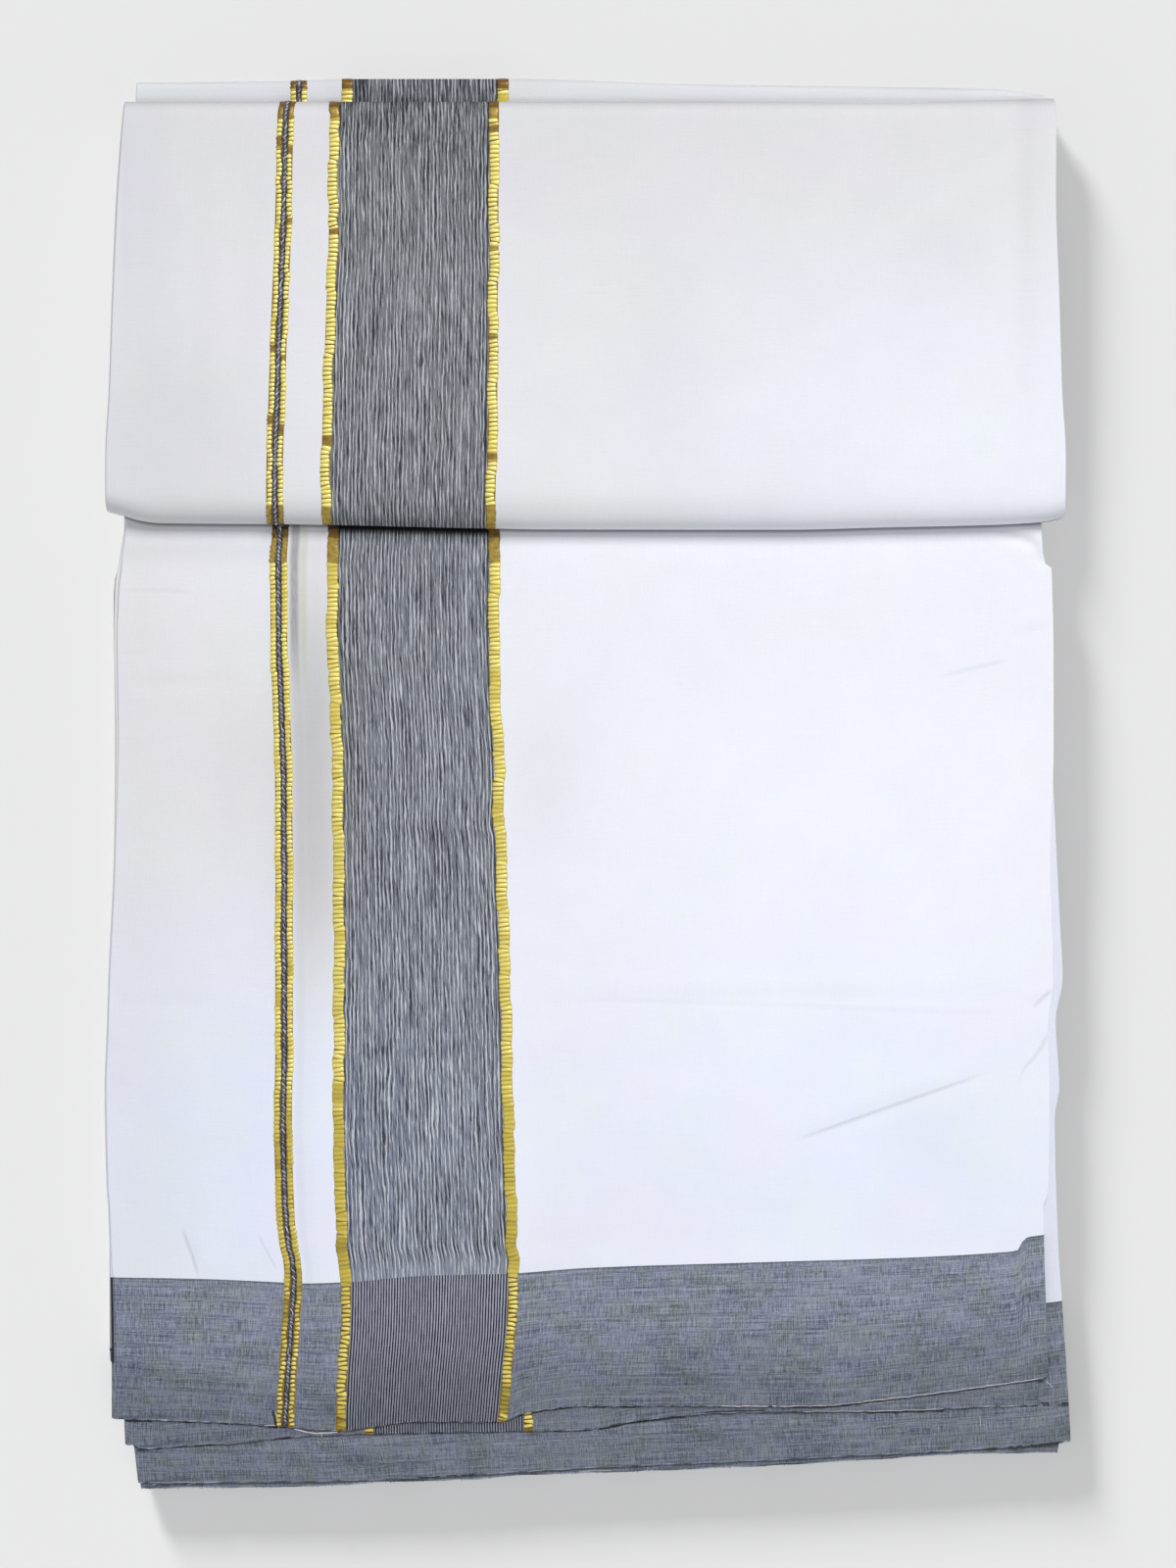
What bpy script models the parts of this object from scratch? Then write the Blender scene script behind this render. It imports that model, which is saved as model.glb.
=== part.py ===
"""A folded cotton dhoti, lying flat as it is sold.

One cloth is folded in four across its width, which makes a strip four thicknesses deep, here
called a leaf. The strip is folded back and forth along its length into a pile of leaves, and the
last of it is a rolled-over bundle, the flap, that lies on the upper third of the pile. Each stretch
of the strip that shows is a wall of its own, and the leaves that only show at their edges are two
solids with one ridge for each leaf.

The origin is on the ground under the middle of the pile. +X points to the right of the garment,
+Y to its folded top and +Z up. All tables are in millimetres.
"""

from collections import namedtuple
import math

import bmesh
import bpy
import numpy as np

MILLIMETRE = 0.001

# The cloth and its leaves.
CLOTH_THICKNESS = 0.3  # one thickness, with the air that stays in a folded pile
THICKNESSES_IN_LEAF = 4
LEAF = CLOTH_THICKNESS * THICKNESSES_IN_LEAF
AIR = 0.3  # between two leaves
PITCH = LEAF + AIR
EDGE_ROUND = 0.4  # how far a leaf's folded edge bulges past its flat faces

# How high the leaves lie. The ground is at 0.
PILE_LEAVES = 4  # leaves under the three that show at the hems
FLAP_LEAVES = 4  # leaves inside the flap
PILE_TOP = PILE_LEAVES * PITCH - AIR
THIRD_LEVEL = PILE_TOP + AIR
SECOND_LEVEL = THIRD_LEVEL + PITCH
FRONT_LEVEL = SECOND_LEVEL + PITCH
FLAP_LEVEL = FRONT_LEVEL + PITCH
FLAP_CORE_LEVEL = FLAP_LEVEL + PITCH
FLAP_TOP_LEVEL = FLAP_CORE_LEVEL + FLAP_LEAVES * PITCH

# The soft swell of the pile.
CROWN = 1.0  # how much higher the middle is than the sides
CROWN_HALF_WIDTH = 168.0
WAVE = 0.25
WAVE_LENGTH = 190.0
FLAP_PUFF = 0.9  # how much the flap's rolled edge stands above its level
FLAP_PUFF_REACH = 28.0
FLAP_PUFF_PLACE = 98.0

# Where the stretches end out of sight, under the flap.
HIDDEN_END = 150.0
HIDDEN_END_GAP = 1.5
FLAP_MOUTH = 3.0  # the open end of the flap's lower run, below its top fold

# How a layered edge is shaped, as shares of one leaf's height and depths in from its outline.
GROOVE = 0.5
SHOULDERS = (0.2, 0.8)

# Rows and columns of each wall.
LEAF_COLUMNS = 20
LEAF_ROWS = 22
UNDER_LEAF_COLUMNS = 14
UNDER_LEAF_ROWS = 18
BLOCK_COLUMNS = 14
PILE_ROWS = 18
FLAP_CORE_ROWS = 8
FOLD_STEPS = 6
BACK_FOLD_ROWS = 6
FLAP_ROWS = 11
FLAP_LOWER_ROWS = 5
SETTLING_PASSES = 4  # a grid's width depends on its rows' places and these on its width
SHARP_ANGLE = 50.0

Side = namedtuple("Side", "along left right")
Line = namedtuple("Line", "across along")
Inset = namedtuple("Inset", "left right hem fold")

# The front leaf: drawn in where it leaves the flap, with a step in its right edge above the band.
FRONT_SIDES = [
    Side(150.0, -156.0, 151.8),
    Side(87.0, -155.0, 152.0),
    Side(76.0, -156.5, 154.0),
    Side(65.5, -158.1, 155.6),
    Side(49.0, -158.4, 156.0),
    Side(13.0, -157.9, 156.1),
    Side(-26.0, -158.6, 155.0),
    Side(-65.5, -160.4, 156.0),
    Side(-82.5, -160.9, 154.3),
    Side(-102.0, -161.6, 154.8),
    Side(-136.0, -160.9, 154.5),
    Side(-142.0, -160.4, 152.7),
    Side(-197.0, -159.2, 154.2),
    Side(-217.0, -159.2, 154.7),
]
FRONT_HEM = [
    Line(-159.2, -212.5),
    Line(-119.5, -213.9),
    Line(-98.0, -215.5),
    Line(-83.8, -216.5),
    Line(-55.5, -213.5),
    Line(-28.5, -213.5),
    Line(-20.0, -210.5),
    Line(0.0, -208.3),
    Line(75.5, -208.3),
    Line(98.0, -206.3),
    Line(141.5, -200.7),
    Line(154.7, -198.8),
]

# The second leaf shows only as a strip below the front leaf's hem.
SECOND_SIDES = [
    Side(236.0, -149.0, 154.5),
    Side(150.0, -153.5, 150.5),
    Side(87.0, -154.0, 151.0),
    Side(65.5, -157.0, 154.5),
    Side(-65.5, -159.0, 154.5),
    Side(-118.0, -160.3, 153.0),
    Side(-170.0, -158.2, 151.5),
    Side(-197.0, -156.5, 151.0),
    Side(-213.0, -155.1, 150.6),
    Side(-223.0, -154.7, 150.4),
]
SECOND_HEM = [
    Line(-155.0, -221.4),
    Line(-151.4, -222.7),
    Line(-138.0, -221.7),
    Line(-120.0, -220.6),
    Line(-91.0, -218.1),
    Line(-23.0, -216.7),
    Line(0.0, -216.3),
    Line(16.5, -213.4),
    Line(49.0, -210.6),
    Line(98.0, -210.1),
    Line(150.4, -208.0),
]

# The third leaf shows along the right side and as the lowest wide strip.
THIRD_SIDES = [
    Side(150.0, -153.0, 150.0),
    Side(87.0, -153.5, 150.5),
    Side(65.5, -156.5, 154.5),
    Side(13.0, -156.5, 155.6),
    Side(-46.0, -158.0, 158.3),
    Side(-65.5, -158.5, 159.2),
    Side(-79.0, -159.0, 156.9),
    Side(-102.0, -159.7, 158.1),
    Side(-111.5, -160.0, 156.6),
    Side(-151.0, -159.0, 157.6),
    Side(-177.0, -158.0, 159.2),
    Side(-213.0, -153.8, 161.5),
    Side(-222.0, -151.9, 161.9),
    Side(-234.0, -150.5, 161.9),
]
THIRD_HEM = [
    Line(-150.4, -234.2),
    Line(-88.5, -233.5),
    Line(-41.0, -231.2),
    Line(0.0, -228.9),
    Line(54.5, -226.6),
    Line(98.0, -224.4),
    Line(125.0, -223.0),
    Line(157.0, -220.4),
    Line(161.9, -219.4),
]

# The leaves of the pile that show only at their edges.
PILE_SIDES = [
    Side(236.0, -150.5, 156.0),
    Side(150.0, -155.0, 151.0),
    Side(87.0, -155.5, 151.5),
    Side(78.5, -156.0, 152.5),
    Side(65.5, -159.3, 155.0),
    Side(13.0, -158.8, 155.3),
    Side(-26.0, -159.2, 155.6),
    Side(-65.5, -160.6, 155.8),
    Side(-102.0, -161.9, 155.8),
    Side(-118.0, -161.9, 156.0),
    Side(-151.0, -160.7, 157.0),
    Side(-193.0, -160.6, 158.6),
    Side(-213.0, -155.0, 159.0),
    Side(-236.0, -150.4, 157.3),
]
PILE_HEM = [
    Line(-150.4, -236.0),
    Line(-88.5, -235.2),
    Line(-70.5, -233.9),
    Line(-41.0, -233.1),
    Line(-24.0, -231.6),
    Line(0.0, -230.8),
    Line(54.5, -228.6),
    Line(98.0, -226.0),
    Line(125.0, -224.4),
    Line(157.3, -223.9),
]
PILE_FOLD = [
    Line(-150.9, 233.0),
    Line(-78.5, 234.3),
    Line(-26.5, 234.0),
    Line(33.0, 232.6),
    Line(136.5, 230.8),
    Line(156.0, 227.0),
]
# One row for each leaf, the lowest first: how far it stays inside the pile's outline.
PILE_INSETS = [
    Inset(1.6, 1.0, 5.2, 0.8),
    Inset(0.6, 1.9, 3.4, 0.8),
    Inset(1.3, 0.4, 1.9, 0.0),
    Inset(0.0, 0.0, 0.0, 0.0),
]

PILE_FOLDS = (0, 2)  # leaves that go round each fold at the lower and the upper end

# The back fold: the pile's upper fold, whose strip shows above the flap.
BACK_FOLD_SIDES = [
    Side(236.0, -150.9, 156.0),
    Side(228.0, -151.2, 156.0),
    Side(200.0, -152.5, 154.5),
    Side(150.0, -154.5, 151.5),
]
BACK_FOLD_LINE = [
    Line(-150.9, 234.8),
    Line(-99.0, 235.3),
    Line(-78.5, 236.0),
    Line(-26.5, 236.0),
    Line(33.0, 234.2),
    Line(85.5, 233.5),
    Line(136.5, 232.6),
    Line(148.0, 230.9),
    Line(156.0, 229.0),
]

# The flap: rolled at both ends, and wider towards its lower edge.
FLAP_SIDES = [
    Side(229.0, -154.7, 156.0),
    Side(223.0, -155.3, 156.7),
    Side(197.5, -157.3, 156.5),
    Side(164.0, -158.8, 157.6),
    Side(131.0, -159.9, 158.6),
    Side(109.0, -161.0, 159.8),
    Side(96.0, -161.0, 159.7),
    Side(85.0, -160.6, 159.4),
]
FLAP_TOP_LINE = [
    Line(-154.7, 228.0),
    Line(33.0, 228.0),
    Line(103.0, 227.6),
    Line(138.5, 228.6),
    Line(156.0, 229.0),
]
FLAP_LOWER_LINE = [
    Line(-161.0, 92.5),
    Line(-154.3, 89.5),
    Line(-149.4, 88.0),
    Line(-142.8, 87.2),
    Line(-98.0, 86.8),
    Line(-33.5, 85.4),
    Line(-13.0, 85.1),
    Line(66.0, 85.0),
    Line(100.0, 85.8),
    Line(134.0, 86.6),
    Line(149.7, 87.4),
    Line(157.5, 89.2),
    Line(159.8, 91.0),
]
FLAP_CORE_SIDES = [
    Side(229.0, -153.6, 154.8),
    Side(197.5, -156.4, 155.5),
    Side(151.0, -158.3, 157.0),
    Side(109.0, -160.2, 158.9),
    Side(85.0, -159.8, 158.4),
]
FLAP_INSETS = [
    Inset(0.9, 0.2, 0.0, 0.0),
    Inset(0.0, 1.1, 0.0, 0.0),
    Inset(1.2, 0.0, 0.0, 0.0),
    Inset(0.3, 0.7, 0.0, 0.0),
]
FLAP_FOLDS = (FLAP_LEAVES, FLAP_LEAVES)

# Finishes: linear colour, then roughness.
WHITE_COTTON = ((0.80, 0.81, 0.86), 0.9)
SHADED_COTTON = ((0.72, 0.72, 0.77), 0.92)
GREY_BAND = ((0.17, 0.18, 0.23), 0.88)


def follow(rows, column, places):
    """One column of a table, read at any place on a smooth curve through its rows."""
    stops = np.array([row[0] for row in rows])
    values = np.array([getattr(row, column) for row in rows])
    if stops[0] > stops[-1]:
        stops, values = stops[::-1], values[::-1]
    rates = np.diff(values) / np.diff(stops)
    before, after = rates[:-1], rates[1:]
    same_way = before * after > 0
    total = np.where(same_way, before + after, 1.0)
    inner = np.where(same_way, 2 * before * after / total, 0.0)
    slopes = np.concatenate(([rates[0]], inner, [rates[-1]]))
    at = np.clip(places, stops[0], stops[-1])
    i = np.clip(np.searchsorted(stops, at) - 1, 0, len(stops) - 2)
    span = stops[i + 1] - stops[i]
    t = (at - stops[i]) / span
    return (
        (2 * t**3 - 3 * t**2 + 1) * values[i]
        + (t**3 - 2 * t**2 + t) * span * slopes[i]
        + (3 * t**2 - 2 * t**3) * values[i + 1]
        + (t**3 - t**2) * span * slopes[i + 1]
    )


def swell(x, y):
    """How much every leaf is lifted at a place: a low crown across and a slow wave along."""
    crown = CROWN * (1 - np.abs(x / CROWN_HALF_WIDTH) ** 3)
    wave = WAVE * np.sin(2 * math.pi * (y / WAVE_LENGTH + x / (3 * WAVE_LENGTH)))
    return crown + wave


def flap_top(x, y):
    """The upper face of the flap's inner leaves, puffed up behind the rolled lower edge."""
    away = (y - FLAP_PUFF_PLACE) / FLAP_PUFF_REACH
    return FLAP_TOP_LEVEL - AIR + swell(x, y) + FLAP_PUFF * np.exp(-(away**2))


def across(sides, y, columns, round_off=EDGE_ROUND):
    """X of every column of a grid whose rows lie at y, an array with those columns."""
    left = follow(sides, "left", y) + round_off
    right = follow(sides, "right", y) - round_off
    share = np.linspace(0, 1, columns + 1)
    return left + share * (right - left)


def grid_between(sides, upper, lower, rows, columns, upper_off=0.0, lower_off=EDGE_ROUND):
    """X and Y of a grid that fills an outline, its first row along the upper line."""
    share = np.linspace(0, 1, rows + 1)[:, None]
    middle = np.linspace(sides[0].left, sides[0].right, columns + 1)
    x = np.tile(middle, (rows + 1, 1))
    for _ in range(SETTLING_PASSES):
        top = (follow(upper, "along", x) if isinstance(upper, list) else upper) - upper_off
        bottom = follow(lower, "along", x) + lower_off
        y = top + share * (bottom - top)
        x = across(sides, y, columns)
    return x, y


def rim(rows, columns):
    """The grid places round the edge in order, each with the place just inside it."""
    places = [(0, j) for j in range(columns)]
    places += [(i, columns) for i in range(rows)]
    places += [(rows, j) for j in range(columns, 0, -1)]
    places += [(i, 0) for i in range(rows, 0, -1)]
    inside = [(min(max(i, 1), rows - 1), min(max(j, 1), columns - 1)) for i, j in places]
    return places, inside


def add_object(name, rings, upper, lower, finish):
    """A closed solid from an upper grid, a lower grid and the rings of points between their rims.

    The rings run from the upper rim to the lower one, each with the rim's number of points.
    """
    rows, columns = upper.shape[0] - 1, upper.shape[1] - 1
    bm = bmesh.new()
    grids = [[[bm.verts.new(p * MILLIMETRE) for p in row] for row in g] for g in (upper, lower)]
    places, _ = rim(rows, columns)
    hoops = [[grids[0][i][j] for i, j in places]]
    hoops += [[bm.verts.new(p * MILLIMETRE) for p in ring] for ring in rings]
    hoops += [[grids[1][i][j] for i, j in places]]
    for grid in grids:
        for i in range(rows):
            for j in range(columns):
                bm.faces.new((grid[i][j], grid[i + 1][j], grid[i + 1][j + 1], grid[i][j + 1]))
    for one, two in zip(hoops, hoops[1:]):
        for k in range(len(places)):
            bm.faces.new((one[k - 1], one[k], two[k], two[k - 1]))
    bmesh.ops.recalc_face_normals(bm, faces=bm.faces)
    mesh = bpy.data.meshes.new(name)
    bm.to_mesh(mesh)
    bm.free()
    mesh.shade_smooth()
    mesh.set_sharp_from_angle(angle=math.radians(SHARP_ANGLE))
    mesh.materials.append(add_material(name, *finish))
    solid = bpy.data.objects.new(name, mesh)
    bpy.context.scene.collection.objects.link(solid)
    return solid


def add_material(name, colour, roughness):
    material = bpy.data.materials.new(name + "_cloth")
    material.use_nodes = True
    shader = material.node_tree.nodes["Principled BSDF"]
    shader.inputs["Base Color"].default_value = (*colour, 1.0)
    shader.inputs["Roughness"].default_value = roughness
    shader.inputs["Metallic"].default_value = 0.0
    return material


def add_wall(name, outer, inner, finish):
    """A leaf between two equal grids of points, its edges rounded by one line of points."""
    places, inside = rim(outer.shape[0] - 1, outer.shape[1] - 1)
    middle = (outer + inner) / 2
    ring = []
    for place, neighbour in zip(places, inside):
        outwards = middle[place] - middle[neighbour]
        ring.append(middle[place] + outwards / np.linalg.norm(outwards) * EDGE_ROUND)
    return add_object(name, [ring], outer, inner, finish)


def add_flat_leaf(name, level, sides, upper, hem, rows, columns, finish):
    """A leaf that lies at one level of the pile, from its hidden end down to its hem."""
    x, y = grid_between(sides, upper, hem, rows, columns)
    bottom = level + swell(x, y)
    outer = np.stack((x, y, bottom + LEAF), axis=-1)
    inner = np.stack((x, y, bottom), axis=-1)
    return add_wall(name, outer, inner, finish)


def add_layered_block(name, x, y, bottom, top, insets, folds, finish):
    """Leaves lying on each other as one solid, with a ridge for each at both sides.

    folds gives how many leaves go round each fold at the lower and the upper end, or 0 where an
    end has ridges like the sides.
    """
    rows, columns = x.shape[0] - 1, x.shape[1] - 1
    places, _ = rim(rows, columns)
    leaves = len(insets)
    rings = []
    for level, inset, groove in edge_levels(insets):
        lower_in = inset.hem + (fold_depth(level, folds[0]) if folds[0] else groove)
        upper_in = inset.fold + (fold_depth(level, folds[1]) if folds[1] else groove)
        ring = []
        for i, j in places:
            step_x = (j == 0) * (inset.left + groove) - (j == columns) * (inset.right + groove)
            step_y = (i == rows) * lower_in - (i == 0) * upper_in
            height = bottom[i, j] + (top[i, j] - bottom[i, j]) * level / leaves
            ring.append(np.array((x[i, j] + step_x, y[i, j] + step_y, height)))
        rings.append(ring)
    upper = np.stack((x, y, top), axis=-1)
    lower = np.stack((x, y, bottom), axis=-1)
    for k, (i, j) in enumerate(places):
        upper[i, j] = rings[-1][k]
        lower[i, j] = rings[0][k]
    return add_object(name, rings[-2:0:-1], upper, lower, finish)


def edge_levels(insets):
    """Heights up a layered edge, in leaves, each with its leaf's insets and the groove's depth."""
    levels = [(0.0, insets[0], GROOVE)]
    for number, inset in enumerate(insets):
        levels += [(number + share, inset, 0.0) for share in SHOULDERS]
        above = insets[min(number + 1, len(insets) - 1)]
        deeper = Inset(*(max(pair) for pair in zip(inset, above)))
        levels.append((number + 1.0, deeper, GROOVE))
    return levels


def fold_depth(level, leaves):
    """How far the outline of a round fold of so many leaves stays in at a height, in leaves."""
    share = 2 * (level / leaves % 1.0) - 1
    return leaves * PITCH / 2 * (1 - math.sqrt(1 - share**2))


def half_turn(y, z, radius, start, steps):
    """Stations round a fold about (y, z), clockwise as seen from the left, as y, z and normal."""
    stations = []
    for step in steps:
        angle = start - math.pi * step / FOLD_STEPS
        away_y = np.full_like(y, math.cos(angle))
        away_z = np.full_like(y, math.sin(angle))
        stations.append((y + radius * away_y, z + radius * away_z, away_y, away_z))
    return stations


def run(first, last, count, height, side):
    """Stations along a flat stretch from y first to y last, at height(y), facing side."""
    stations = []
    for share in np.linspace(0, 1, count + 1):
        y = first + share * (last - first)
        stations.append((y, height(y), np.zeros_like(y), np.full_like(y, side)))
    return stations


def add_folded_leaf(name, sides, columns, stations_at, finish):
    """A leaf that turns over one or more folds, from its stations along the strip.

    stations_at(x) gives each station as arrays over the columns: y, z and the outward normal.
    """
    x = np.linspace(sides[0].left, sides[0].right, columns + 1)
    for _ in range(SETTLING_PASSES):
        stations = stations_at(x)
        y = np.array([station[0] for station in stations])
        x = across(sides, y, columns)[len(stations) // 2]
    grid_x = across(sides, y, columns)
    z = np.array([station[1] for station in stations])
    normal_y = np.array([station[2] for station in stations])
    normal_z = np.array([station[3] for station in stations])
    half = LEAF / 2
    outer = np.stack((grid_x, y + half * normal_y, z + half * normal_z), axis=-1)
    inner = np.stack((grid_x, y - half * normal_y, z - half * normal_z), axis=-1)
    return add_wall(name, outer, inner, finish)


def back_fold_stations(x):
    """Down the strip from under the flap, over the pile's upper fold and back below it."""
    radius = (2 * PITCH + LEAF) / 2
    centre_y = follow(BACK_FOLD_LINE, "along", x) - radius
    centre_z = THIRD_LEVEL + radius + swell(x, centre_y)
    middle = radius - LEAF / 2

    def upper(y):
        return FRONT_LEVEL + LEAF / 2 + swell(x, y)

    def lower(y):
        return THIRD_LEVEL + LEAF / 2 + swell(x, y)

    start = np.full_like(x, HIDDEN_END + HIDDEN_END_GAP)
    stations = run(start, centre_y, BACK_FOLD_ROWS, upper, 1.0)
    stations += half_turn(centre_y, centre_z, middle, math.pi / 2, range(1, FOLD_STEPS))
    stations += run(centre_y, start, BACK_FOLD_ROWS, lower, -1.0)
    return stations


def flap_stations(x):
    """From the flap's lower run, round its lower edge, over its face and round its top."""
    depth = (FLAP_TOP_LEVEL + LEAF - FLAP_LEVEL) / 2
    lower_y = follow(FLAP_LOWER_LINE, "along", x) + depth
    upper_y = follow(FLAP_TOP_LINE, "along", x) - depth

    def below(y):
        return FLAP_LEVEL + LEAF / 2 + swell(x, y)

    def above(y):
        return flap_top(x, y) + AIR + LEAF / 2

    def fold(y, start, steps):
        middle = (below(y) + above(y)) / 2
        return half_turn(y, middle, above(y) - middle, start, steps)

    stations = run(upper_y - FLAP_MOUTH, lower_y, FLAP_LOWER_ROWS, below, -1.0)
    stations += fold(lower_y, -math.pi / 2, range(1, FOLD_STEPS))
    stations += run(lower_y, upper_y, FLAP_ROWS, above, 1.0)
    stations += fold(upper_y, math.pi / 2, range(1, FOLD_STEPS + 1))
    return stations


def build_pile():
    x, y = grid_between(
        PILE_SIDES, PILE_FOLD, PILE_HEM, PILE_ROWS, BLOCK_COLUMNS, lower_off=0.0
    )
    add_layered_block(
        "hidden_layers",
        x,
        y,
        np.zeros_like(x),
        PILE_TOP + swell(x, y),
        PILE_INSETS,
        PILE_FOLDS,
        SHADED_COTTON,
    )
    add_flat_leaf(
        "third_leaf",
        THIRD_LEVEL,
        THIRD_SIDES,
        HIDDEN_END,
        THIRD_HEM,
        UNDER_LEAF_ROWS,
        UNDER_LEAF_COLUMNS,
        GREY_BAND,
    )
    second_end = [Line(row.across, row.along - PITCH - LEAF) for row in BACK_FOLD_LINE]
    add_flat_leaf(
        "second_leaf",
        SECOND_LEVEL,
        SECOND_SIDES,
        second_end,
        SECOND_HEM,
        UNDER_LEAF_ROWS,
        UNDER_LEAF_COLUMNS,
        GREY_BAND,
    )
    add_flat_leaf(
        "front_leaf",
        FRONT_LEVEL,
        FRONT_SIDES,
        HIDDEN_END,
        FRONT_HEM,
        LEAF_ROWS,
        LEAF_COLUMNS,
        WHITE_COTTON,
    )
    add_folded_leaf(
        "back_fold", BACK_FOLD_SIDES, UNDER_LEAF_COLUMNS, back_fold_stations, WHITE_COTTON
    )


def build_flap():
    x, y = grid_between(
        FLAP_CORE_SIDES,
        FLAP_TOP_LINE,
        FLAP_LOWER_LINE,
        FLAP_CORE_ROWS,
        BLOCK_COLUMNS,
        upper_off=PITCH,
        lower_off=PITCH,
    )
    add_layered_block(
        "flap_layers",
        x,
        y,
        FLAP_CORE_LEVEL + swell(x, y),
        flap_top(x, y),
        FLAP_INSETS,
        FLAP_FOLDS,
        SHADED_COTTON,
    )
    add_folded_leaf("flap", FLAP_SIDES, LEAF_COLUMNS, flap_stations, WHITE_COTTON)


def clear_scene():
    for item in list(bpy.data.objects):
        bpy.data.objects.remove(item, do_unlink=True)


clear_scene()
build_pile()
build_flap()
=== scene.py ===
import math
from collections import namedtuple

import bpy
import numpy as np
from mathutils.bvhtree import BVHTree
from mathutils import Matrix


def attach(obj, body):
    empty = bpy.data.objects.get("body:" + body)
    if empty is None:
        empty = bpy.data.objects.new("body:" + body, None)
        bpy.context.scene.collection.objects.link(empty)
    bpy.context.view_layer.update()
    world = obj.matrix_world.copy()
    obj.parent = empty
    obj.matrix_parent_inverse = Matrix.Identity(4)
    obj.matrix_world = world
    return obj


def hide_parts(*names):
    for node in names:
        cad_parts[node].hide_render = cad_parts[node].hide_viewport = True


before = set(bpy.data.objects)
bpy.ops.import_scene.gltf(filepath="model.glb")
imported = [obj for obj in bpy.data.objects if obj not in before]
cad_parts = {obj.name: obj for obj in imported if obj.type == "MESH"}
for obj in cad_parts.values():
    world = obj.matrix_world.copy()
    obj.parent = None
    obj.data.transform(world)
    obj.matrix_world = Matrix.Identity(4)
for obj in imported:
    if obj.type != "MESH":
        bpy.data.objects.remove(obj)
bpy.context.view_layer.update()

# The table, the lamps and the camera. The folded cloth lies on a plain pale table and is looked
# at from straight above. A wide lamp beyond its upper right corner lights the cloth alone. Two
# more light the table alone, of which the low one gives the pile its soft shadow.
VIEW_TALL = 0.5248  # how much the camera takes in, top to bottom, in metres at the level below
VIEW_LEVEL = 0.010  # of the pile's upper side
CAMERA_PLACE = (0.0002, 0.0, 4.0)
FILM = 36.0
TABLE_SIZE = 8.0
TABLE_COLOUR = (0.50, 0.50, 0.50, 1.0)
SKY_COLOUR = (0.965, 0.972, 1.0, 1.0)
SKY_STRENGTH = 0.40
SKY_SLOPE = (-0.16, -0.32, 0.0)  # how much stronger it is towards the pile's left and lower sides
LAMP_PLACE = (0.85, 1.75, 2.35)
LAMP_SIZE = 1.0
LAMP_POWER = 69.0
TABLE_LAMP_STRENGTH = 2.3
LOW_LAMP_TURN = math.radians(-64.5)  # the way its light goes, from +X towards +Y
LOW_LAMP_RISE = math.radians(14.1)
LOW_LAMP_SPREAD = math.radians(12.5)
LOW_LAMP_STRENGTH = 6.6


def put(name, data, spot=(0.0, 0.0, 0.0), turn=(0.0, 0.0, 0.0)):
    """Something new, placed in the scene."""
    made = bpy.data.objects.new(name, data)
    made.location, made.rotation_euler = spot, turn
    bpy.context.scene.collection.objects.link(made)
    return made


def new_material(name):
    """A material with nodes, and its shader."""
    material = bpy.data.materials.new(name)
    material.use_nodes = True
    return material, material.node_tree.nodes["Principled BSDF"]


camera_data = bpy.data.cameras.new("overhead_camera")
camera_data.sensor_width = FILM
camera_data.lens = FILM * (CAMERA_PLACE[2] - VIEW_LEVEL) / VIEW_TALL
bpy.context.scene.camera = put("overhead_camera", camera_data, CAMERA_PLACE)
bpy.context.scene.view_settings.view_transform = "Standard"

world = bpy.data.worlds.new("pale_room")
world.use_nodes = True
sky = world.node_tree.nodes["Background"]
sky.inputs["Color"].default_value = SKY_COLOUR
add_node, join = world.node_tree.nodes.new, world.node_tree.links.new
looked_along = add_node("ShaderNodeTexCoord")
sky_side = add_node("ShaderNodeVectorMath")
sky_side.operation = "DOT_PRODUCT"
sky_side.inputs[1].default_value = SKY_SLOPE
sky_strength = add_node("ShaderNodeMath")
sky_strength.inputs[1].default_value = SKY_STRENGTH
join(looked_along.outputs["Generated"], sky_side.inputs[0])
join(sky_side.outputs["Value"], sky_strength.inputs[0])
join(sky_strength.outputs[0], sky.inputs["Strength"])
bpy.context.scene.world = world

half = TABLE_SIZE / 2
table_mesh = bpy.data.meshes.new("table_top")
table_mesh.from_pydata(
    [(-half, -half, 0), (half, -half, 0), (half, half, 0), (-half, half, 0)], [], [(0, 1, 2, 3)]
)
table_top = put("table_top", table_mesh)
table_finish, table_shader = new_material("table_finish")
table_shader.inputs["Base Color"].default_value = TABLE_COLOUR
table_shader.inputs["Roughness"].default_value = 1.0
table_shader.inputs["Specular IOR Level"].default_value = 0.0
table_mesh.materials.append(table_finish)

lamp_data = bpy.data.lights.new("wide_lamp", "AREA")
lamp_data.size = LAMP_SIZE
lamp_data.energy = LAMP_POWER
lamp = put("wide_lamp", lamp_data, LAMP_PLACE)
lamp.rotation_euler = (-lamp.location).to_track_quat("-Z", "Y").to_euler()
all_but_table = bpy.data.collections.new("all_but_table")
all_but_table.objects.link(table_top)
all_but_table.collection_objects[0].light_linking.link_state = "EXCLUDE"
lamp.light_linking.receiver_collection = all_but_table

only_table = bpy.data.collections.new("only_table")
only_table.objects.link(table_top)
table_lamp_data = bpy.data.lights.new("table_lamp", "SUN")
table_lamp_data.energy = TABLE_LAMP_STRENGTH
table_lamp = put("table_lamp", table_lamp_data)
low_lamp_data = bpy.data.lights.new("low_lamp", "SUN")
low_lamp_data.energy = LOW_LAMP_STRENGTH
low_lamp_data.angle = LOW_LAMP_SPREAD
low_lamp = put("low_lamp", low_lamp_data, turn=(0.0, LOW_LAMP_RISE - math.pi / 2, LOW_LAMP_TURN))
for each_lamp in (table_lamp, low_lamp):
    each_lamp.light_linking.receiver_collection = only_table


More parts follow.
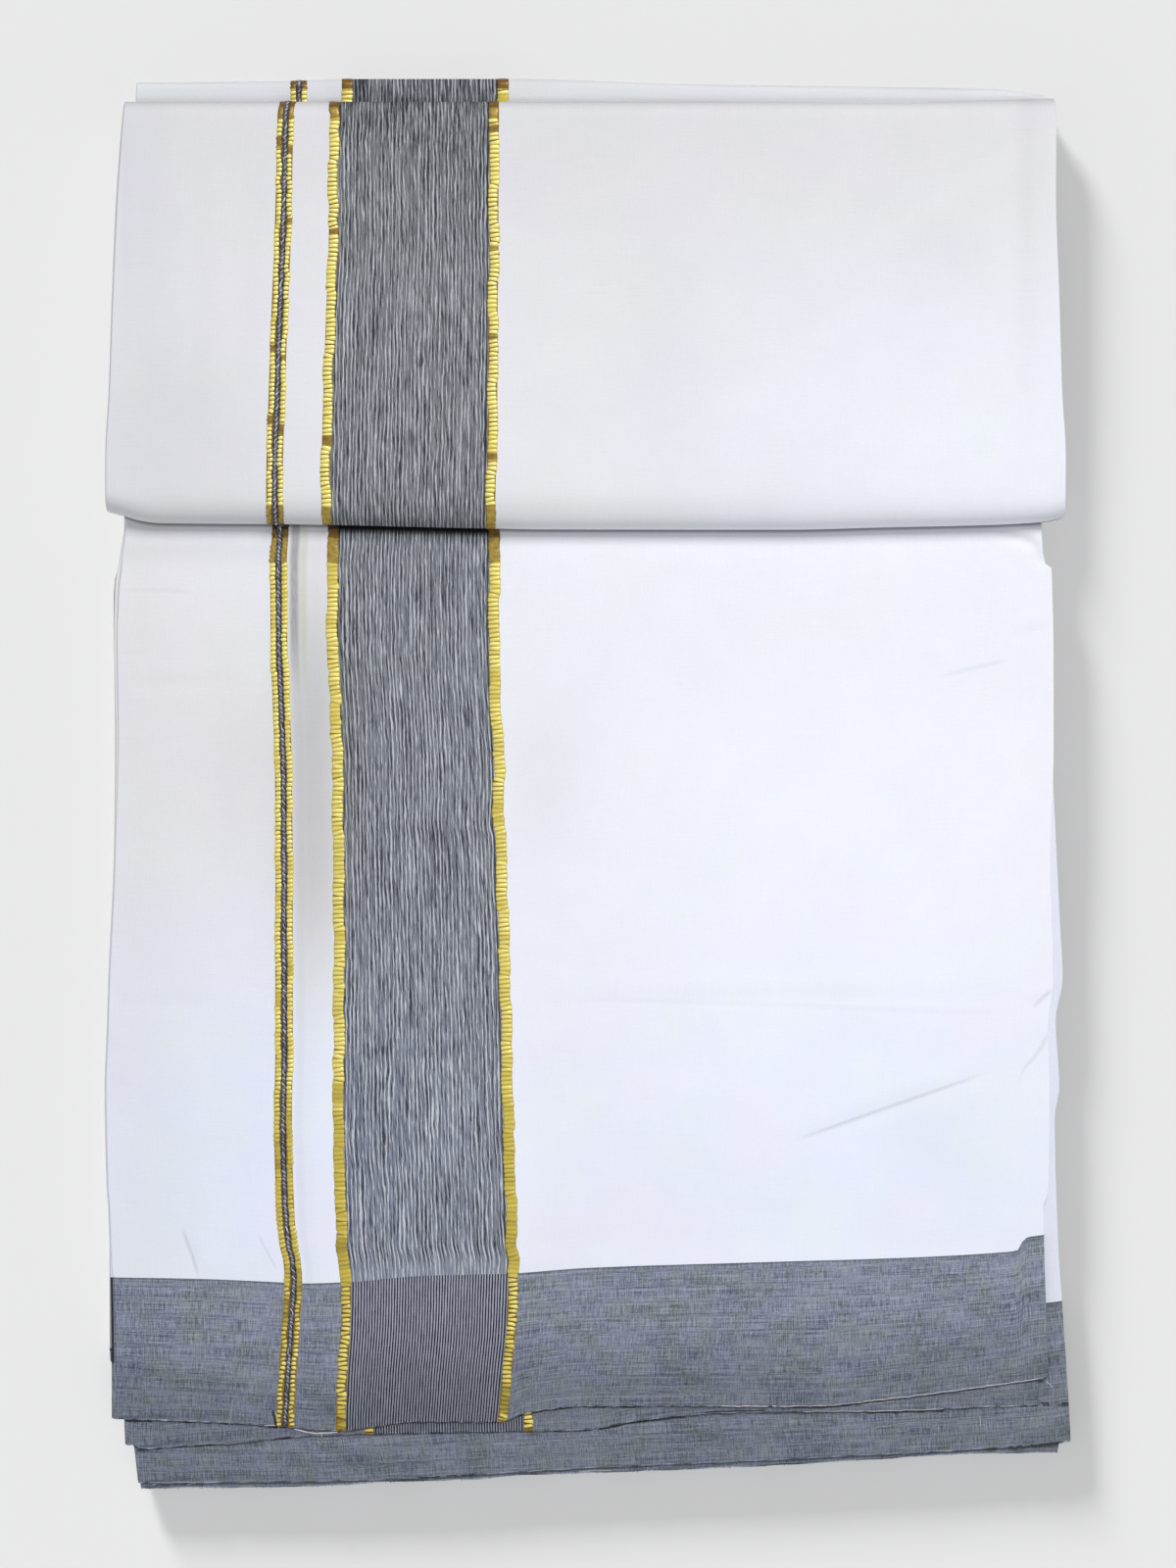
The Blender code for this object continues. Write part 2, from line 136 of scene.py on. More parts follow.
# The lowest four leaves of the pile. A leaf is the cotton cloth folded in four across its width.
# They are two lengths of it, each turned back on itself at the pile's upper end, and only their
# edges show, at the left side and along the bottom.
MM = 0.001
LEAF = 1.2  # four thicknesses; this and all that follows is in millimetres
AIR = 0.3
PITCH = LEAF + AIR
PILE_LEAVES = 4
THIRD_LEVEL = PILE_LEAVES * PITCH
EDGE_ROUND = 0.4
STRIP_WIDTH = 317.5  # the cloth's 50 inches in four
BAND = 47.0  # the grey cross band at each end of the cloth
NARROW_PLACE = 57.5  # the stripes' middles, from the left edge of the folded strip
GOLD_LEFT = 76.0
GOLD_RIGHT = 130.0
COARSE_STEP = 5.0
EDGE_STOPS = (0.5, 1.2, 2.2)  # extra rows and columns of points, in from a leaf's edge
CLEAR = 100.0  # the distance from any edge on it of a leaf that has none
RIM_PAINTED_LIGHT = 2.4  # how much paler the edges of a raw end are painted at most, as light on their shaded sides
HEM_THINNING = 0.85  # how much thinner a leaf is at its hem, where its plies end
HEM_REACH = 5.0
SETTLING_PASSES = 4
TURN_STEPS = 8

Side = namedtuple("Side", "along left right")
Line = namedtuple("Line", "across along")
Lip = namedtuple("Lip", "out up")
Strip = namedtuple("Strip", "outer inner across along")


def table(kind, *rows):
    """A short table, whose columns are a kind of row's."""
    return [kind(*row) for row in rows]


# The edges of a leaf, from its upper face down: how far each point lies out from the leaf's side
# and at what share of the thickness. On the left the upper plies end on a ledge of the lower ones.
LEDGE_SIDE = table(
    Lip, (0.20, 0.96), (0.30, 0.86), (0.24, 0.74), (-0.20, 0.66), (0.26, 0.54), (0.40, 0.36),
    (0.22, 0.06),
)
FOLDED_SIDE = table(
    Lip, (0.20, 0.96), (0.34, 0.84), (0.41, 0.68), (0.34, 0.50), (0.40, 0.32), (0.34, 0.16),
    (0.18, 0.04),
)
RAW_END = table(
    Lip, (0.28, 0.97), (0.02, 0.76), (0.34, 0.66), (0.00, 0.50), (0.30, 0.38), (0.02, 0.25),
    (0.26, 0.05),
)
LEDGE_LIPS = 3  # of the left side's, that belong to the upper plies
UNDER_PLY = -1.0  # the place across the cloth that marks the plies under the ledge
PILE_SIDES = table(
    Side, (236, -150.5, 156), (150, -155, 151), (87, -155.5, 151.5), (78.5, -156, 152.5),
    (65.5, -159.3, 155), (13, -158.8, 155.3), (-26, -159.2, 155.6), (-65.5, -160.6, 155.8),
    (-102, -161.9, 155.8), (-118, -161.9, 156), (-151, -160.7, 157), (-193, -160.6, 158.6),
    (-194.5, -158, 158.7), (-213, -154.6, 159), (-223, -151.7, 158.4), (-236, -150.4, 157.3),
)
PILE_HEM = table(
    Line, (-150.4, -236), (-88.5, -235.2), (-70.5, -233.9), (-41, -233.1), (-24, -231.6), (0, -230.8),
    (54.5, -228.6), (98, -226), (125, -224.4), (157.3, -223.9),
)
PILE_FOLD = table(
    Line, (-150.9, 233), (-78.5, 234.3), (-26.5, 234), (33, 232.6), (136.5, 230.8), (156, 227),
)
PILE_HEM_INSETS = (5.2, 3.4, 1.9, 0.0)  # of each leaf, the lowest first
PILE_SIDE_INSETS = (1.3, 0.5)  # of each pair


def follow(rows, places, column="along"):
    """One column of a table, read at any place on a smooth curve through its rows."""
    stops = np.array([row[0] for row in rows])
    values = np.array([getattr(row, column) for row in rows])
    if stops[0] > stops[-1]:
        stops, values = stops[::-1], values[::-1]
    rates = np.diff(values) / np.diff(stops)
    before, after = rates[:-1], rates[1:]
    same_way = before * after > 0
    total = np.where(same_way, before + after, 1.0)
    inner = np.where(same_way, 2 * before * after / total, 0.0)
    slopes = np.concatenate(([rates[0]], inner, [rates[-1]]))
    at = np.clip(places, stops[0], stops[-1])
    i = np.clip(np.searchsorted(stops, at) - 1, 0, len(stops) - 2)
    span = stops[i + 1] - stops[i]
    t = (at - stops[i]) / span
    return (
        (2 * t**3 - 3 * t**2 + 1) * values[i]
        + (t**3 - 2 * t**2 + t) * span * slopes[i]
        + (3 * t**2 - 2 * t**3) * values[i + 1]
        + (t**3 - t**2) * span * slopes[i + 1]
    )


def wander(place, spacing, start):
    """A smooth uneven line between -1 and 1, whose swings lie about a spacing apart."""
    turns = 2 * math.pi * np.asarray(place) / spacing
    swings = np.sin(turns + start) + 0.6 * np.sin(1.93 * turns + 2.3 * start)
    return (swings + 0.4 * np.sin(3.17 * turns + 4.1 * start)) / 2


def swell(x, y):
    """How much the pile is lifted at a place: a low crown across it and a slow wave along it."""
    crown = 1.0 - np.abs(x / 168.0) ** 3
    return crown + 0.25 * np.sin(2 * math.pi * (y / 190.0 + x / 570.0))


def stops(span, step):
    """Shares of a span, about a step apart, with closer ones near its ends."""
    last = [span - distance for distance in reversed(EDGE_STOPS)]
    middle = np.linspace(EDGE_STOPS[-1], last[0], max(1, round(span / step)))
    return np.concatenate(([0.0], EDGE_STOPS[:-1], middle, last[1:], [span])) / span


def spread(sides, y, step, inset=0.0, ledge=0.0):
    """X of the columns of a grid whose rows lie at y, between a leaf's sides."""
    left = follow(sides, y, "left") + EDGE_ROUND + inset + ledge
    right = follow(sides, y, "right") - EDGE_ROUND - inset
    return left + stops(STRIP_WIDTH, step) * (right - left)


def half_turn(y, low, high, wide, start, way, bulge=0.5):
    """Stations round a fold about y, between two heights, as arrays: y, z and outward normal.

    bulge is the share of the height at which the fold stands out furthest.
    """
    middle = low + bulge * (high - low)
    stations = []
    for step in range(1, TURN_STEPS):
        angle = start + way * math.pi * step / TURN_STEPS
        away_y, away_z = math.cos(angle), math.sin(angle)
        tall = high - middle if away_z > 0 else middle - low
        size = np.hypot(tall * away_y, wide * away_z)
        stations.append((
            y + wide * away_y, middle + tall * away_z, tall * away_y / size, wide * away_z / size
        ))
    return stations


def run(first, last, step, height, side):
    """Stations along a flat stretch from y first to y last, at height(y), facing up or down."""
    count = max(2, round(float(np.abs(last - first).mean()) / step))
    stations = []
    for share in np.linspace(0, 1, count + 1):
        y = first + share * (last - first)
        stations.append((y, height(y), np.zeros_like(y), np.full_like(y, side)))
    return stations


def above(hem):
    """How far up its cloth a place of a leaf is, where the cloth starts at a hem."""
    return lambda x, y: y - follow(hem, x)


def lay_strip(
    sides, stations_at, along, step, stripes=None, inset=0.0, ledges=None, lift=None, hems=()
):
    """A leaf's two faces and the places of its cloth on them, from its stations along the strip.

    stations_at(x) gives each station as arrays over the columns: y, z and the outward normal.
    along(x, y) is how far up the cloth a place is. lift(x, y) raises the outer face, and the cloth
    is then measured on it. The leaf sinks at its hems: its own first, then those below it.
    """
    x = spread(sides, np.array([sides[0].along]), step, inset)
    for _ in range(SETTLING_PASSES):
        stations = stations_at(x)
        y = np.array([station[0] for station in stations])
        x = spread(sides, y, step, inset)[len(stations) // 2]
    ledge = follow(ledges, y, "wide") if ledges else 0.0
    outer_x, inner_x = (spread(sides, y, step, inset, wide) for wide in (ledge, 0.0))
    z, normal_y, normal_z = (np.array([s[k] for s in stations]) for k in (1, 2, 3))
    outer = np.stack((outer_x, y + LEAF / 2 * normal_y, z + LEAF / 2 * normal_z), axis=-1)
    inner = np.stack((inner_x, y - LEAF / 2 * normal_y, z - LEAF / 2 * normal_z), axis=-1)
    x, y = outer[..., 0], (outer[..., 1] + inner[..., 1]) / 2
    if lift:
        y = outer[..., 1]
        on_face = np.clip((outer[..., 2] - inner[..., 2]) / LEAF, 0, 1)
        outer[..., 2] += on_face * lift(x, y)
    for number, hem in enumerate(hems):
        for face in (outer, inner) if number else (outer,):
            beyond = np.clip(face[..., 1] - follow(hem, face[..., 0]), 0, None)
            face[..., 2] -= HEM_THINNING * np.exp(-beyond / HEM_REACH)
    return Strip(outer, inner, across_cloth(x, y, sides, stripes), along(x, y))


def across_cloth(x, y, sides, stripes=None):
    """The place across the cloth, in millimetres from its left edge, of points of a leaf."""
    marks = {"narrow": NARROW_PLACE, "gold_left": GOLD_LEFT, "gold_right": GOLD_RIGHT}
    known = [follow(stripes, y, name) for name in marks] if stripes else []
    known = [follow(sides, y, "left"), *known, follow(sides, y, "right")]
    places = (0.0, *(marks.values() if stripes else ()), STRIP_WIDTH)
    across = np.zeros_like(x)
    for a, b, low, high in zip(known, known[1:], places, places[1:]):
        across += np.clip((x - a) / (b - a), 0, 1) * (high - low)
    return across


def make_shell(name, strip, ends, finish, patches=(), bright=1.0, blue=0.0, under=None):
    """A leaf as a closed shell: its two faces, joined by a shaped edge on all four sides.

    under is the line of an edge that lies on it, beside which a dark line and a shade are
    painted as its shadow.
    """
    rows, columns = strip.across.shape
    index = np.arange(rows * columns).reshape(rows, columns)
    last_row, last_column = rows - 1, columns - 1
    places = [(0, j) for j in range(last_column)]
    places += [(i, last_column) for i in range(last_row)]
    places += [(last_row, j) for j in range(last_column, 0, -1)]
    places += [(i, 0) for i in range(last_row, 0, -1)]
    edges = [ends[0]] * last_column + [FOLDED_SIDE] * last_row
    edges += [ends[1]] * last_column + [LEDGE_SIDE] * last_row
    at = np.array(places)
    near = np.clip(at, 1, (last_row - 1, last_column - 1))
    upper, lower = strip.outer[at[:, 0], at[:, 1]], strip.inner[at[:, 0], at[:, 1]]
    outward = lower - strip.inner[near[:, 0], near[:, 1]]
    outward /= np.linalg.norm(outward, axis=1)[:, None]
    thickness = upper - lower
    thickness[:, 0] = 0.0
    on_left = np.array([edge is LEDGE_SIDE for edge in edges])
    raw = np.array([edge is RAW_END for edge in edges])
    girth = np.arange(len(places))
    cloth_corner = np.stack((strip.across, strip.along), axis=-1)
    cloth_edge = cloth_corner[at[:, 0], at[:, 1]]
    hoops = [index[at[:, 0], at[:, 1]]]
    points = [strip.outer.reshape(-1, 3), strip.inner.reshape(-1, 3)]
    cloth = [cloth_corner.reshape(-1, 2)] * 2
    first = 2 * rows * columns
    for k in range(len(LEDGE_SIDE)):
        out = np.array([edge[k].out for edge in edges])
        up = np.array([edge[k].up for edge in edges])
        out = out + raw * 0.3 * wander(girth, 9.0, 1.7 * k)
        ring = lower + up[:, None] * thickness + out[:, None] * outward
        ring_cloth = cloth_edge.copy()
        if k < LEDGE_LIPS:
            ring[:, 0] += on_left * (upper - lower)[:, 0]
        else:
            ring_cloth[on_left, 0] = UNDER_PLY
        points.append(ring)
        cloth.append(ring_cloth)
        hoops.append(first + k * len(places) + girth)
    hoops.append(rows * columns + hoops[0])
    quads = np.stack((index[:-1, :-1], index[1:, :-1], index[1:, 1:], index[:-1, 1:]), axis=-1)
    quads = quads.reshape(-1, 4)
    faces = [quads, quads[:, ::-1] + rows * columns]
    for one, two in zip(hoops, hoops[1:]):
        faces.append(np.stack((np.roll(one, 1), one, two, np.roll(two, 1)), axis=-1))
    faces = np.concatenate(faces)
    i, j = rows // 2, columns // 2
    step_on = strip.outer[i + 1, j] - strip.outer[i, j]
    step_across = strip.outer[i, j + 1] - strip.outer[i, j]
    if np.dot(np.cross(step_on, step_across), strip.outer[i, j] - strip.inner[i, j]) < 0:
        faces = faces[:, ::-1]
    points, cloth = np.concatenate(points), np.concatenate(cloth)
    mesh = bpy.data.meshes.new(name)
    mesh.from_pydata((points * MM).tolist(), [], faces.tolist())
    corner = np.zeros(len(mesh.loops), dtype=np.int32)
    mesh.loops.foreach_get("vertex_index", corner)
    mesh.uv_layers.new(name="cloth").uv.foreach_set("vector", cloth[corner].ravel())
    # Painted light and shade: bright all over the leaf, soft lighter and darker spots from the patches,
    # and blue as a bluish tinge where light is painted on.
    tone, cool = np.full(len(points), bright), np.full(len(points), blue)
    for patch in patches:
        away = ((points[:, 0] - patch.across) / patch.wide) ** 2
        away += ((points[:, 1] - patch.along) / patch.high) ** 2
        tone += patch.bright * np.exp(-away)
        cool += patch.blue * np.exp(-away)
    clear = np.full(len(points), CLEAR)
    if under:
        clear = follow(under, points[:, 0]) - points[:, 1]
    # Painted light on the edges of the raw ends, which face away from the lamp, uneven along them.
    rim_light = np.clip(0.5 + 1.2 * wander(points[:, 0], 4.3, 0.3), 0, 1) * RIM_PAINTED_LIGHT
    tone[first:] += np.tile(raw, len(LEDGE_SIDE)) * rim_light[first:]
    varied = {"tone": tone, "cool": np.clip(cool, 0, 1), "clear": clear}
    for attribute, values in varied.items():
        mesh.attributes.new(attribute, "FLOAT", "POINT").data.foreach_set("value", values)
    mesh.shade_smooth()
    mesh.materials.append(finish)
    shell = put(name, mesh)
    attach(shell, "root")
    return shell


def distance_down(strip):
    """How far down the strip each point of a leaf lies."""
    middle = (strip.outer + strip.inner) / 2
    steps = np.linalg.norm(np.diff(middle, axis=0), axis=-1)
    return np.concatenate((np.zeros((1, middle.shape[1])), np.cumsum(steps, axis=0)))


def declare(shell, strip, slot, held, rests_on, *nodes):
    """Hides the CAD parts a leaf replaces; its slot, hold and what it lies on are not used."""
    length = float(distance_down(strip)[-1].mean())
    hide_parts(*nodes)


class Field:
    """What varies over a surface: one socket of a material's nodes. Sums of fields add nodes."""

    def __init__(self, tree, socket=None):
        self.tree = tree
        self.socket = socket

    def node(self, kind, settings, inputs, output=0):
        """The output of a new node, whose inputs are numbers, colours or other fields."""
        made = self.tree.nodes.new(kind)
        for name, value in settings.items():
            setattr(made, name, value)
        for name, value in inputs.items():
            if isinstance(value, Field):
                self.tree.links.new(value.socket, made.inputs[name])
            else:
                made.inputs[name].default_value = value
        return Field(self.tree, made.outputs[output])

    def maths(self, operation, *values):
        return self.node("ShaderNodeMath", {"operation": operation}, dict(enumerate(values)))

    def __add__(self, other):
        return self.maths("ADD", self, other)

    def __sub__(self, other):
        return self.maths("SUBTRACT", self, other)

    def __rsub__(self, other):
        return self.maths("SUBTRACT", other, self)

    def __mul__(self, other):
        return self.maths("MULTIPLY", self, other)

    def __pow__(self, other):
        return self.maths("POWER", self, other)

    def __gt__(self, other):
        return self.maths("GREATER_THAN", self, other)

    def __lt__(self, other):
        return self.maths("LESS_THAN", self, other)

    __radd__, __rmul__ = __add__, __mul__

    def rise(self, low, high):
        """0 up to low, 1 from high on, and smooth between them."""
        settings = {"interpolation_type": "SMOOTHSTEP"}
        return self.node(
            "ShaderNodeMapRange", settings, {"Value": self, "From Min": low, "From Max": high}
        )

    def mix(self, none, full):
        """A colour between two others: the one where this is 0 and the other where it is 1."""
        return self.node("ShaderNodeMix", {"data_type": "RGBA"}, {0: self, 6: none, 7: full}, 2)

    def times(self, amount):
        """A colour made brighter or darker."""
        inputs = {0: self, "Scale": amount}
        return self.node("ShaderNodeVectorMath", {"operation": "SCALE"}, inputs)

    def size(self):
        return self.maths("ABSOLUTE", self)

    def read(self, attribute):
        """A number that each point of the mesh holds."""
        return self.node("ShaderNodeAttribute", {"attribute_name": attribute}, {}, 2)

    def feed(self, shader, value):
        self.tree.links.new(self.socket, shader.inputs[value])


def grain(across, along, per_across, per_along, detail=2.0):
    """Uneven threads: a noise stretched to so many changes a millimetre across and along."""
    place = across.node("ShaderNodeCombineXYZ", {}, {0: across * per_across, 1: along * per_along})
    return across.node(
        "ShaderNodeTexNoise",
        {"noise_dimensions": "2D"},
        {"Vector": place, "Scale": 1.0, "Detail": detail, "Roughness": 0.6},
    )


def paint(red, green, blue):
    """A colour for a shader, from the 0 to 255 values that a screen shows it with."""
    shares = [value / 255 for value in (red, green, blue)]
    linear = [s / 12.92 if s <= 0.04045 else ((s + 0.055) / 1.055) ** 2.4 for s in shares]
    return (*linear, 1.0)


# Bleached cotton, painted a little warm in its folds and bluish where light falls on it, as
# shade and light. The band is woven of dark and pale threads, the border of pale, middling and
# dark warp threads.
NEUTRAL_WHITE = paint(242, 241, 243)
COOL_WHITE = paint(234, 239, 255)
LILAC_WHITE = paint(243, 238, 250)
GREEN_WHITE = paint(236, 243, 241)
BAND_DARK = paint(75, 81, 97)
BAND_PALE = paint(156, 163, 181)
BAND_DARK_GREEN = paint(76, 84, 92)
BAND_PALE_GREEN = paint(154, 162, 169)
BAND_LILAC = paint(126, 121, 140)
BORDER_GROUND = paint(130, 133, 134)
BORDER_BLUE = paint(126, 133, 152)
BORDER_PALE = paint(204, 207, 214)
BORDER_DEEP = paint(52, 52, 62)
PIN_DEEP = paint(24, 26, 38)
PIN_PALE = paint(176, 179, 194)
GOLD_UNDER = paint(150, 118, 40)
CHAIN_UNDER = paint(74, 72, 78)
LEDGE_SHADE = paint(44, 46, 58)
THROUGH_SHADE = paint(132, 130, 130)
THROUGH_YELLOW = paint(196, 198, 138)
THREAD_PITCH = 1.25  # of the border's pale warp threads, with a dark one between two
PIN_PITCH = 0.9  # the same where the weft of the end band draws them straight and tight
GOLD_HALF = 1.5
THROUGH_FROM = 270.0  # how far up the narrow stripe of the ply below shows through
THROUGH_TO = 340.0
THROUGH_GREY = 5.4  # and how far beside the upper ply's its parts lie
THROUGH_GOLD = 8.4
TURN_FROM = 484.0  # from here on the border bulges where it goes over the upper folds
CONTACT_HALO = 3.5  # how far the shade beside an upper leaf's edge reaches
NARROW_HALF = 2.9
CHAIN_HALF = 0.95


def crease_mark(place, crease):
    """1 in the middle of a crease pressed into the cloth, falling to 0 at its sides and ends."""
    run_x, run_y = crease.x2 - crease.x1, crease.y2 - crease.y1
    length = math.hypot(run_x, run_y)
    own = place.node(
        "ShaderNodeMapping",
        {"vector_type": "TEXTURE"},
        {
            "Vector": place,
            "Location": (crease.x1, crease.y1, 0.0),
            "Rotation": (0.0, 0.0, math.atan2(run_y, run_x)),
            "Scale": (length, 1.0, 1.0),
        },
    )
    share = place.node("ShaderNodeSeparateXYZ", {}, {0: own}, 0)
    off = place.node("ShaderNodeSeparateXYZ", {}, {0: own}, 1)
    bulge = share * (1 - share) * 4.0
    off = (off - bulge * crease.bow).size()
    return (1 - off.rise(0.0, 2 * crease.wide)) * bulge.rise(0.0, 0.8) * crease.depth


Weave = namedtuple("Weave", "across along cool warp weft nap slub_weft slub_warp patchy in_band")


def weave_of(start, place):
    """The uneven threads of the cloth, and where on it they lie."""
    across = start.node("ShaderNodeSeparateXYZ", {}, {0: place}, 0)
    along = start.node("ShaderNodeSeparateXYZ", {}, {0: place}, 1)
    return Weave(
        across,
        along,
        start.read("cool"),
        grain(across, along, 2.6, 0.09),
        grain(across, along, 0.07, 2.8),
        grain(across, along, 1.1, 1.3, 3.0),
        grain(across, along, 0.10, 4.2, 3.0),
        grain(across, along, 3.4, 0.20, 3.0),
        grain(across, along, 0.05, 0.09),
        along < BAND,
    )


def white_cloth(weave):
    """Bleached plain weave, a little uneven in its threads and its tinge."""
    cloud = grain(weave.across, weave.along, 0.035, 0.03, 3.0)
    faint = grain(weave.across, weave.along, 0.022, 0.026, 3.0)
    white = weave.cool.mix(NEUTRAL_WHITE, COOL_WHITE)
    white = (0.3 * faint.rise(0.50, 0.68)).mix(white, LILAC_WHITE)
    white = (0.3 * (1 - faint.rise(0.32, 0.50))).mix(white, GREEN_WHITE)
    threads = 0.045 * (weave.warp - 0.5) + 0.045 * (weave.weft - 0.5) + 0.06 * (weave.nap - 0.5)
    return white.times(threads + 0.05 * (cloud - 0.5) + 1.0)


def band_cloth(weave):
    """The grey band: dark and pale slubbed threads both ways, more of the weft in it."""
    across, along = weave.across, weave.along
    greenish = grain(across, along, 0.09, 0.11, 3.0).rise(0.40, 0.66)
    streaks = grain(across, along, 0.018, 1.3, 3.0)
    chambray = 1.5 * (weave.slub_weft - 0.5) + 1.9 * (weave.slub_warp - 0.5)
    chambray = chambray + 0.8 * (weave.nap - 0.5) + 0.9 * (streaks - 0.5)
    dark, pale = greenish.mix(BAND_DARK, BAND_DARK_GREEN), greenish.mix(BAND_PALE, BAND_PALE_GREEN)
    grey = (chambray + 0.5 * (weave.patchy - 0.5)).rise(-0.75, 0.75).mix(dark, pale)
    grey = (weave.patchy.rise(0.42, 0.62) * 0.12).mix(grey, BAND_LILAC)
    # Painted shade: the band is darker towards the hem, where the cloth thins down to it.
    grey = grey.times(0.86 + 0.28 * along.rise(4.0, 34.0))
    heading = (along - (BAND - 0.3)).size() < 0.3
    return (heading * 0.5).mix(grey, BAND_DARK)


def border_cloth(weave):
    """The border's warp stripes, pinstripes where they cross the band, and their relief."""
    across, along, in_band = weave.across, weave.along, weave.in_band
    sway = 1.3 * (grain(across, along, 0.11, 0.024) - 0.5)
    sway = sway + 1.0 * (grain(across, along, 0.42, 0.10) - 0.5)
    turn = (across - GOLD_LEFT + sway) * (2 * math.pi / THREAD_PITCH)
    thread = (0.5 + 0.5 * turn.maths("COSINE", turn)) ** 3
    upright = grain(across + sway, along, 2.4, 0.024, 3.0)
    slanting = grain(across + 0.10 * along, along, 1.9, 0.10)
    near_band = 1 - along.rise(BAND + 2.0, BAND + 9.0)
    relief = 1.0 * (thread - 0.36) + 2.8 * (upright - 0.5) + 2.0 * (slanting - 0.5)
    relief = relief + 1.4 * (weave.slub_warp - 0.5)
    bulging = grain(across + 0.06 * along, along, 0.9, 0.16)
    relief = relief + 1.9 * (bulging - 0.56) * along.rise(TURN_FROM, TURN_FROM + 14.0)
    ground = (0.25 * (weave.patchy - 0.5) + weave.cool).mix(BORDER_GROUND, BORDER_BLUE)
    ground = (0.4 * near_band).mix(ground, BAND_PALE)
    border = (relief.rise(0.16, 0.66) * 0.95).mix(ground, BORDER_PALE)
    border = ((0 - relief).rise(0.21, 0.74) * (0.95 - 0.5 * near_band)).mix(border, BORDER_DEEP)
    pin = (across - GOLD_LEFT + 0.25 * sway) * (2 * math.pi / PIN_PITCH)
    pin_crest = 0.5 + 0.5 * pin.maths("COSINE", pin) + 0.9 * (weave.slub_warp - 0.5)
    pins = pin_crest.rise(0.25, 0.85).mix(PIN_DEEP, PIN_PALE)
    pins = (0.7 * (weave.slub_weft - 0.3)).mix(pins, BAND_DARK)
    # The pins are painted darker towards the hem too, as shade.
    return in_band.mix(border, pins.times(0.80 + 0.26 * along.rise(4.0, 34.0))), relief


def under_tapes(weave, colour, narrow):
    """What lies under and beside the gold tapes, and what shows through the cloth next to them."""
    across, along, in_band = weave.across, weave.along, weave.in_band
    beside_gold = (across - (GOLD_RIGHT - 2.1)).size() < 0.25
    beside_gold = beside_gold + ((across - (GOLD_LEFT + 2.1)).size() < 0.25) * in_band
    colour = (0.75 * beside_gold).mix(colour, BORDER_DEEP)
    for middle in (GOLD_LEFT, GOLD_RIGHT):
        colour = ((across - middle).size() < GOLD_HALF).mix(colour, GOLD_UNDER)
    beside = across - NARROW_PLACE
    if narrow:
        colour = (beside.size() < NARROW_HALF).mix(colour, GOLD_UNDER)
        colour = (beside.size() < CHAIN_HALF).mix(colour, CHAIN_UNDER)
    # Painted shade: the plies under the ledge on the left are near-black in the band.
    colour = ((across < UNDER_PLY / 2) * in_band).mix(colour, LEDGE_SHADE)
    shown = (0.15 + 0.85 * along.rise(THROUGH_FROM - 30.0, THROUGH_FROM)) * (1 - in_band)
    shown = shown * (along < THROUGH_TO)
    grey = (1 - (beside - THROUGH_GREY).size().rise(0.6, 2.3)) * (0.5 + weave.slub_warp)
    colour = (0.60 * grey * shown).mix(colour, THROUGH_SHADE)
    yellow = 1 - (beside - THROUGH_GOLD).size().rise(0.3, 2.2)
    return (0.30 * yellow * shown).mix(colour, THROUGH_YELLOW)


def painted_contact_shadow(weave, clear, in_border):
    """Painted shadow beside an edge that lies on the cloth: a dark line with a soft halo."""
    in_band = weave.in_band
    on_border = in_border * (1 - in_band)
    broken = grain(weave.across, weave.along, 0.30, 0.10, 3.0).rise(0.48, 0.60)
    dark_line = 0.56 + 0.40 * on_border + in_band * (0.65 * broken - 0.52)
    reach = clear * (0.85 - 0.45 * on_border + 0.8 * in_band)
    dark_line = dark_line * (1 - 0.7 * in_border * in_band)
    dark_line = dark_line * (clear > -1.0) * (1 - reach.rise(0.25, 1.15))
    halo = (1 - clear.rise(0.0, CONTACT_HALO)) * (0.04 + 0.06 * in_band + 0.45 * on_border)
    return (1 - dark_line) * (1 - halo)


def dhoti_cloth(name, striped, narrow=True, creases=()):
    """Plain-woven cotton: white ground, a grey end band and, where striped, the warp border.

    Without narrow it hasn't the narrow stripe that runs beside the border on one of its plies.
    """
    material, shader = new_material(name)
    start = Field(material.node_tree)
    place = start.node("ShaderNodeUVMap", {"uv_map": "cloth"}, {})
    weave = weave_of(start, place)
    colour = weave.in_band.mix(white_cloth(weave), band_cloth(weave))
    height = 0.5 * (weave.warp + weave.weft) + 0.6 * weave.nap
    if striped:
        border, relief = border_cloth(weave)
        in_border = (weave.across > GOLD_LEFT) * (weave.across < GOLD_RIGHT)
        colour = under_tapes(weave, in_border.mix(colour, border), narrow)
        height = height + in_border * relief * 2.0
    else:
        in_border = start.node("ShaderNodeValue", {}, {})
    for crease in creases:
        mark = crease_mark(place, crease)
        height = height - 3.0 * mark
        # Painted shade: the creases' troughs are also drawn darker, beside their bump.
        colour = colour.times(1 - 0.13 * mark)
    colour = colour.times(painted_contact_shadow(weave, start.read("clear"), in_border))
    bump = {"Strength": 0.35, "Distance": 0.0002, "Height": height}
    colour.times(start.read("tone")).feed(shader, "Base Color")
    start.node("ShaderNodeBump", {}, bump).feed(shader, "Normal")
    shader.inputs["Roughness"].default_value = 0.9
    shader.inputs["Specular IOR Level"].default_value = 0.2
    return material


def pile_middle(leaf, x, y):
    """The middle height of one of the lowest leaves. The lowest lies flat on the table."""
    return leaf * (THIRD_LEVEL + swell(x, y)) / PILE_LEAVES + LEAF / 2


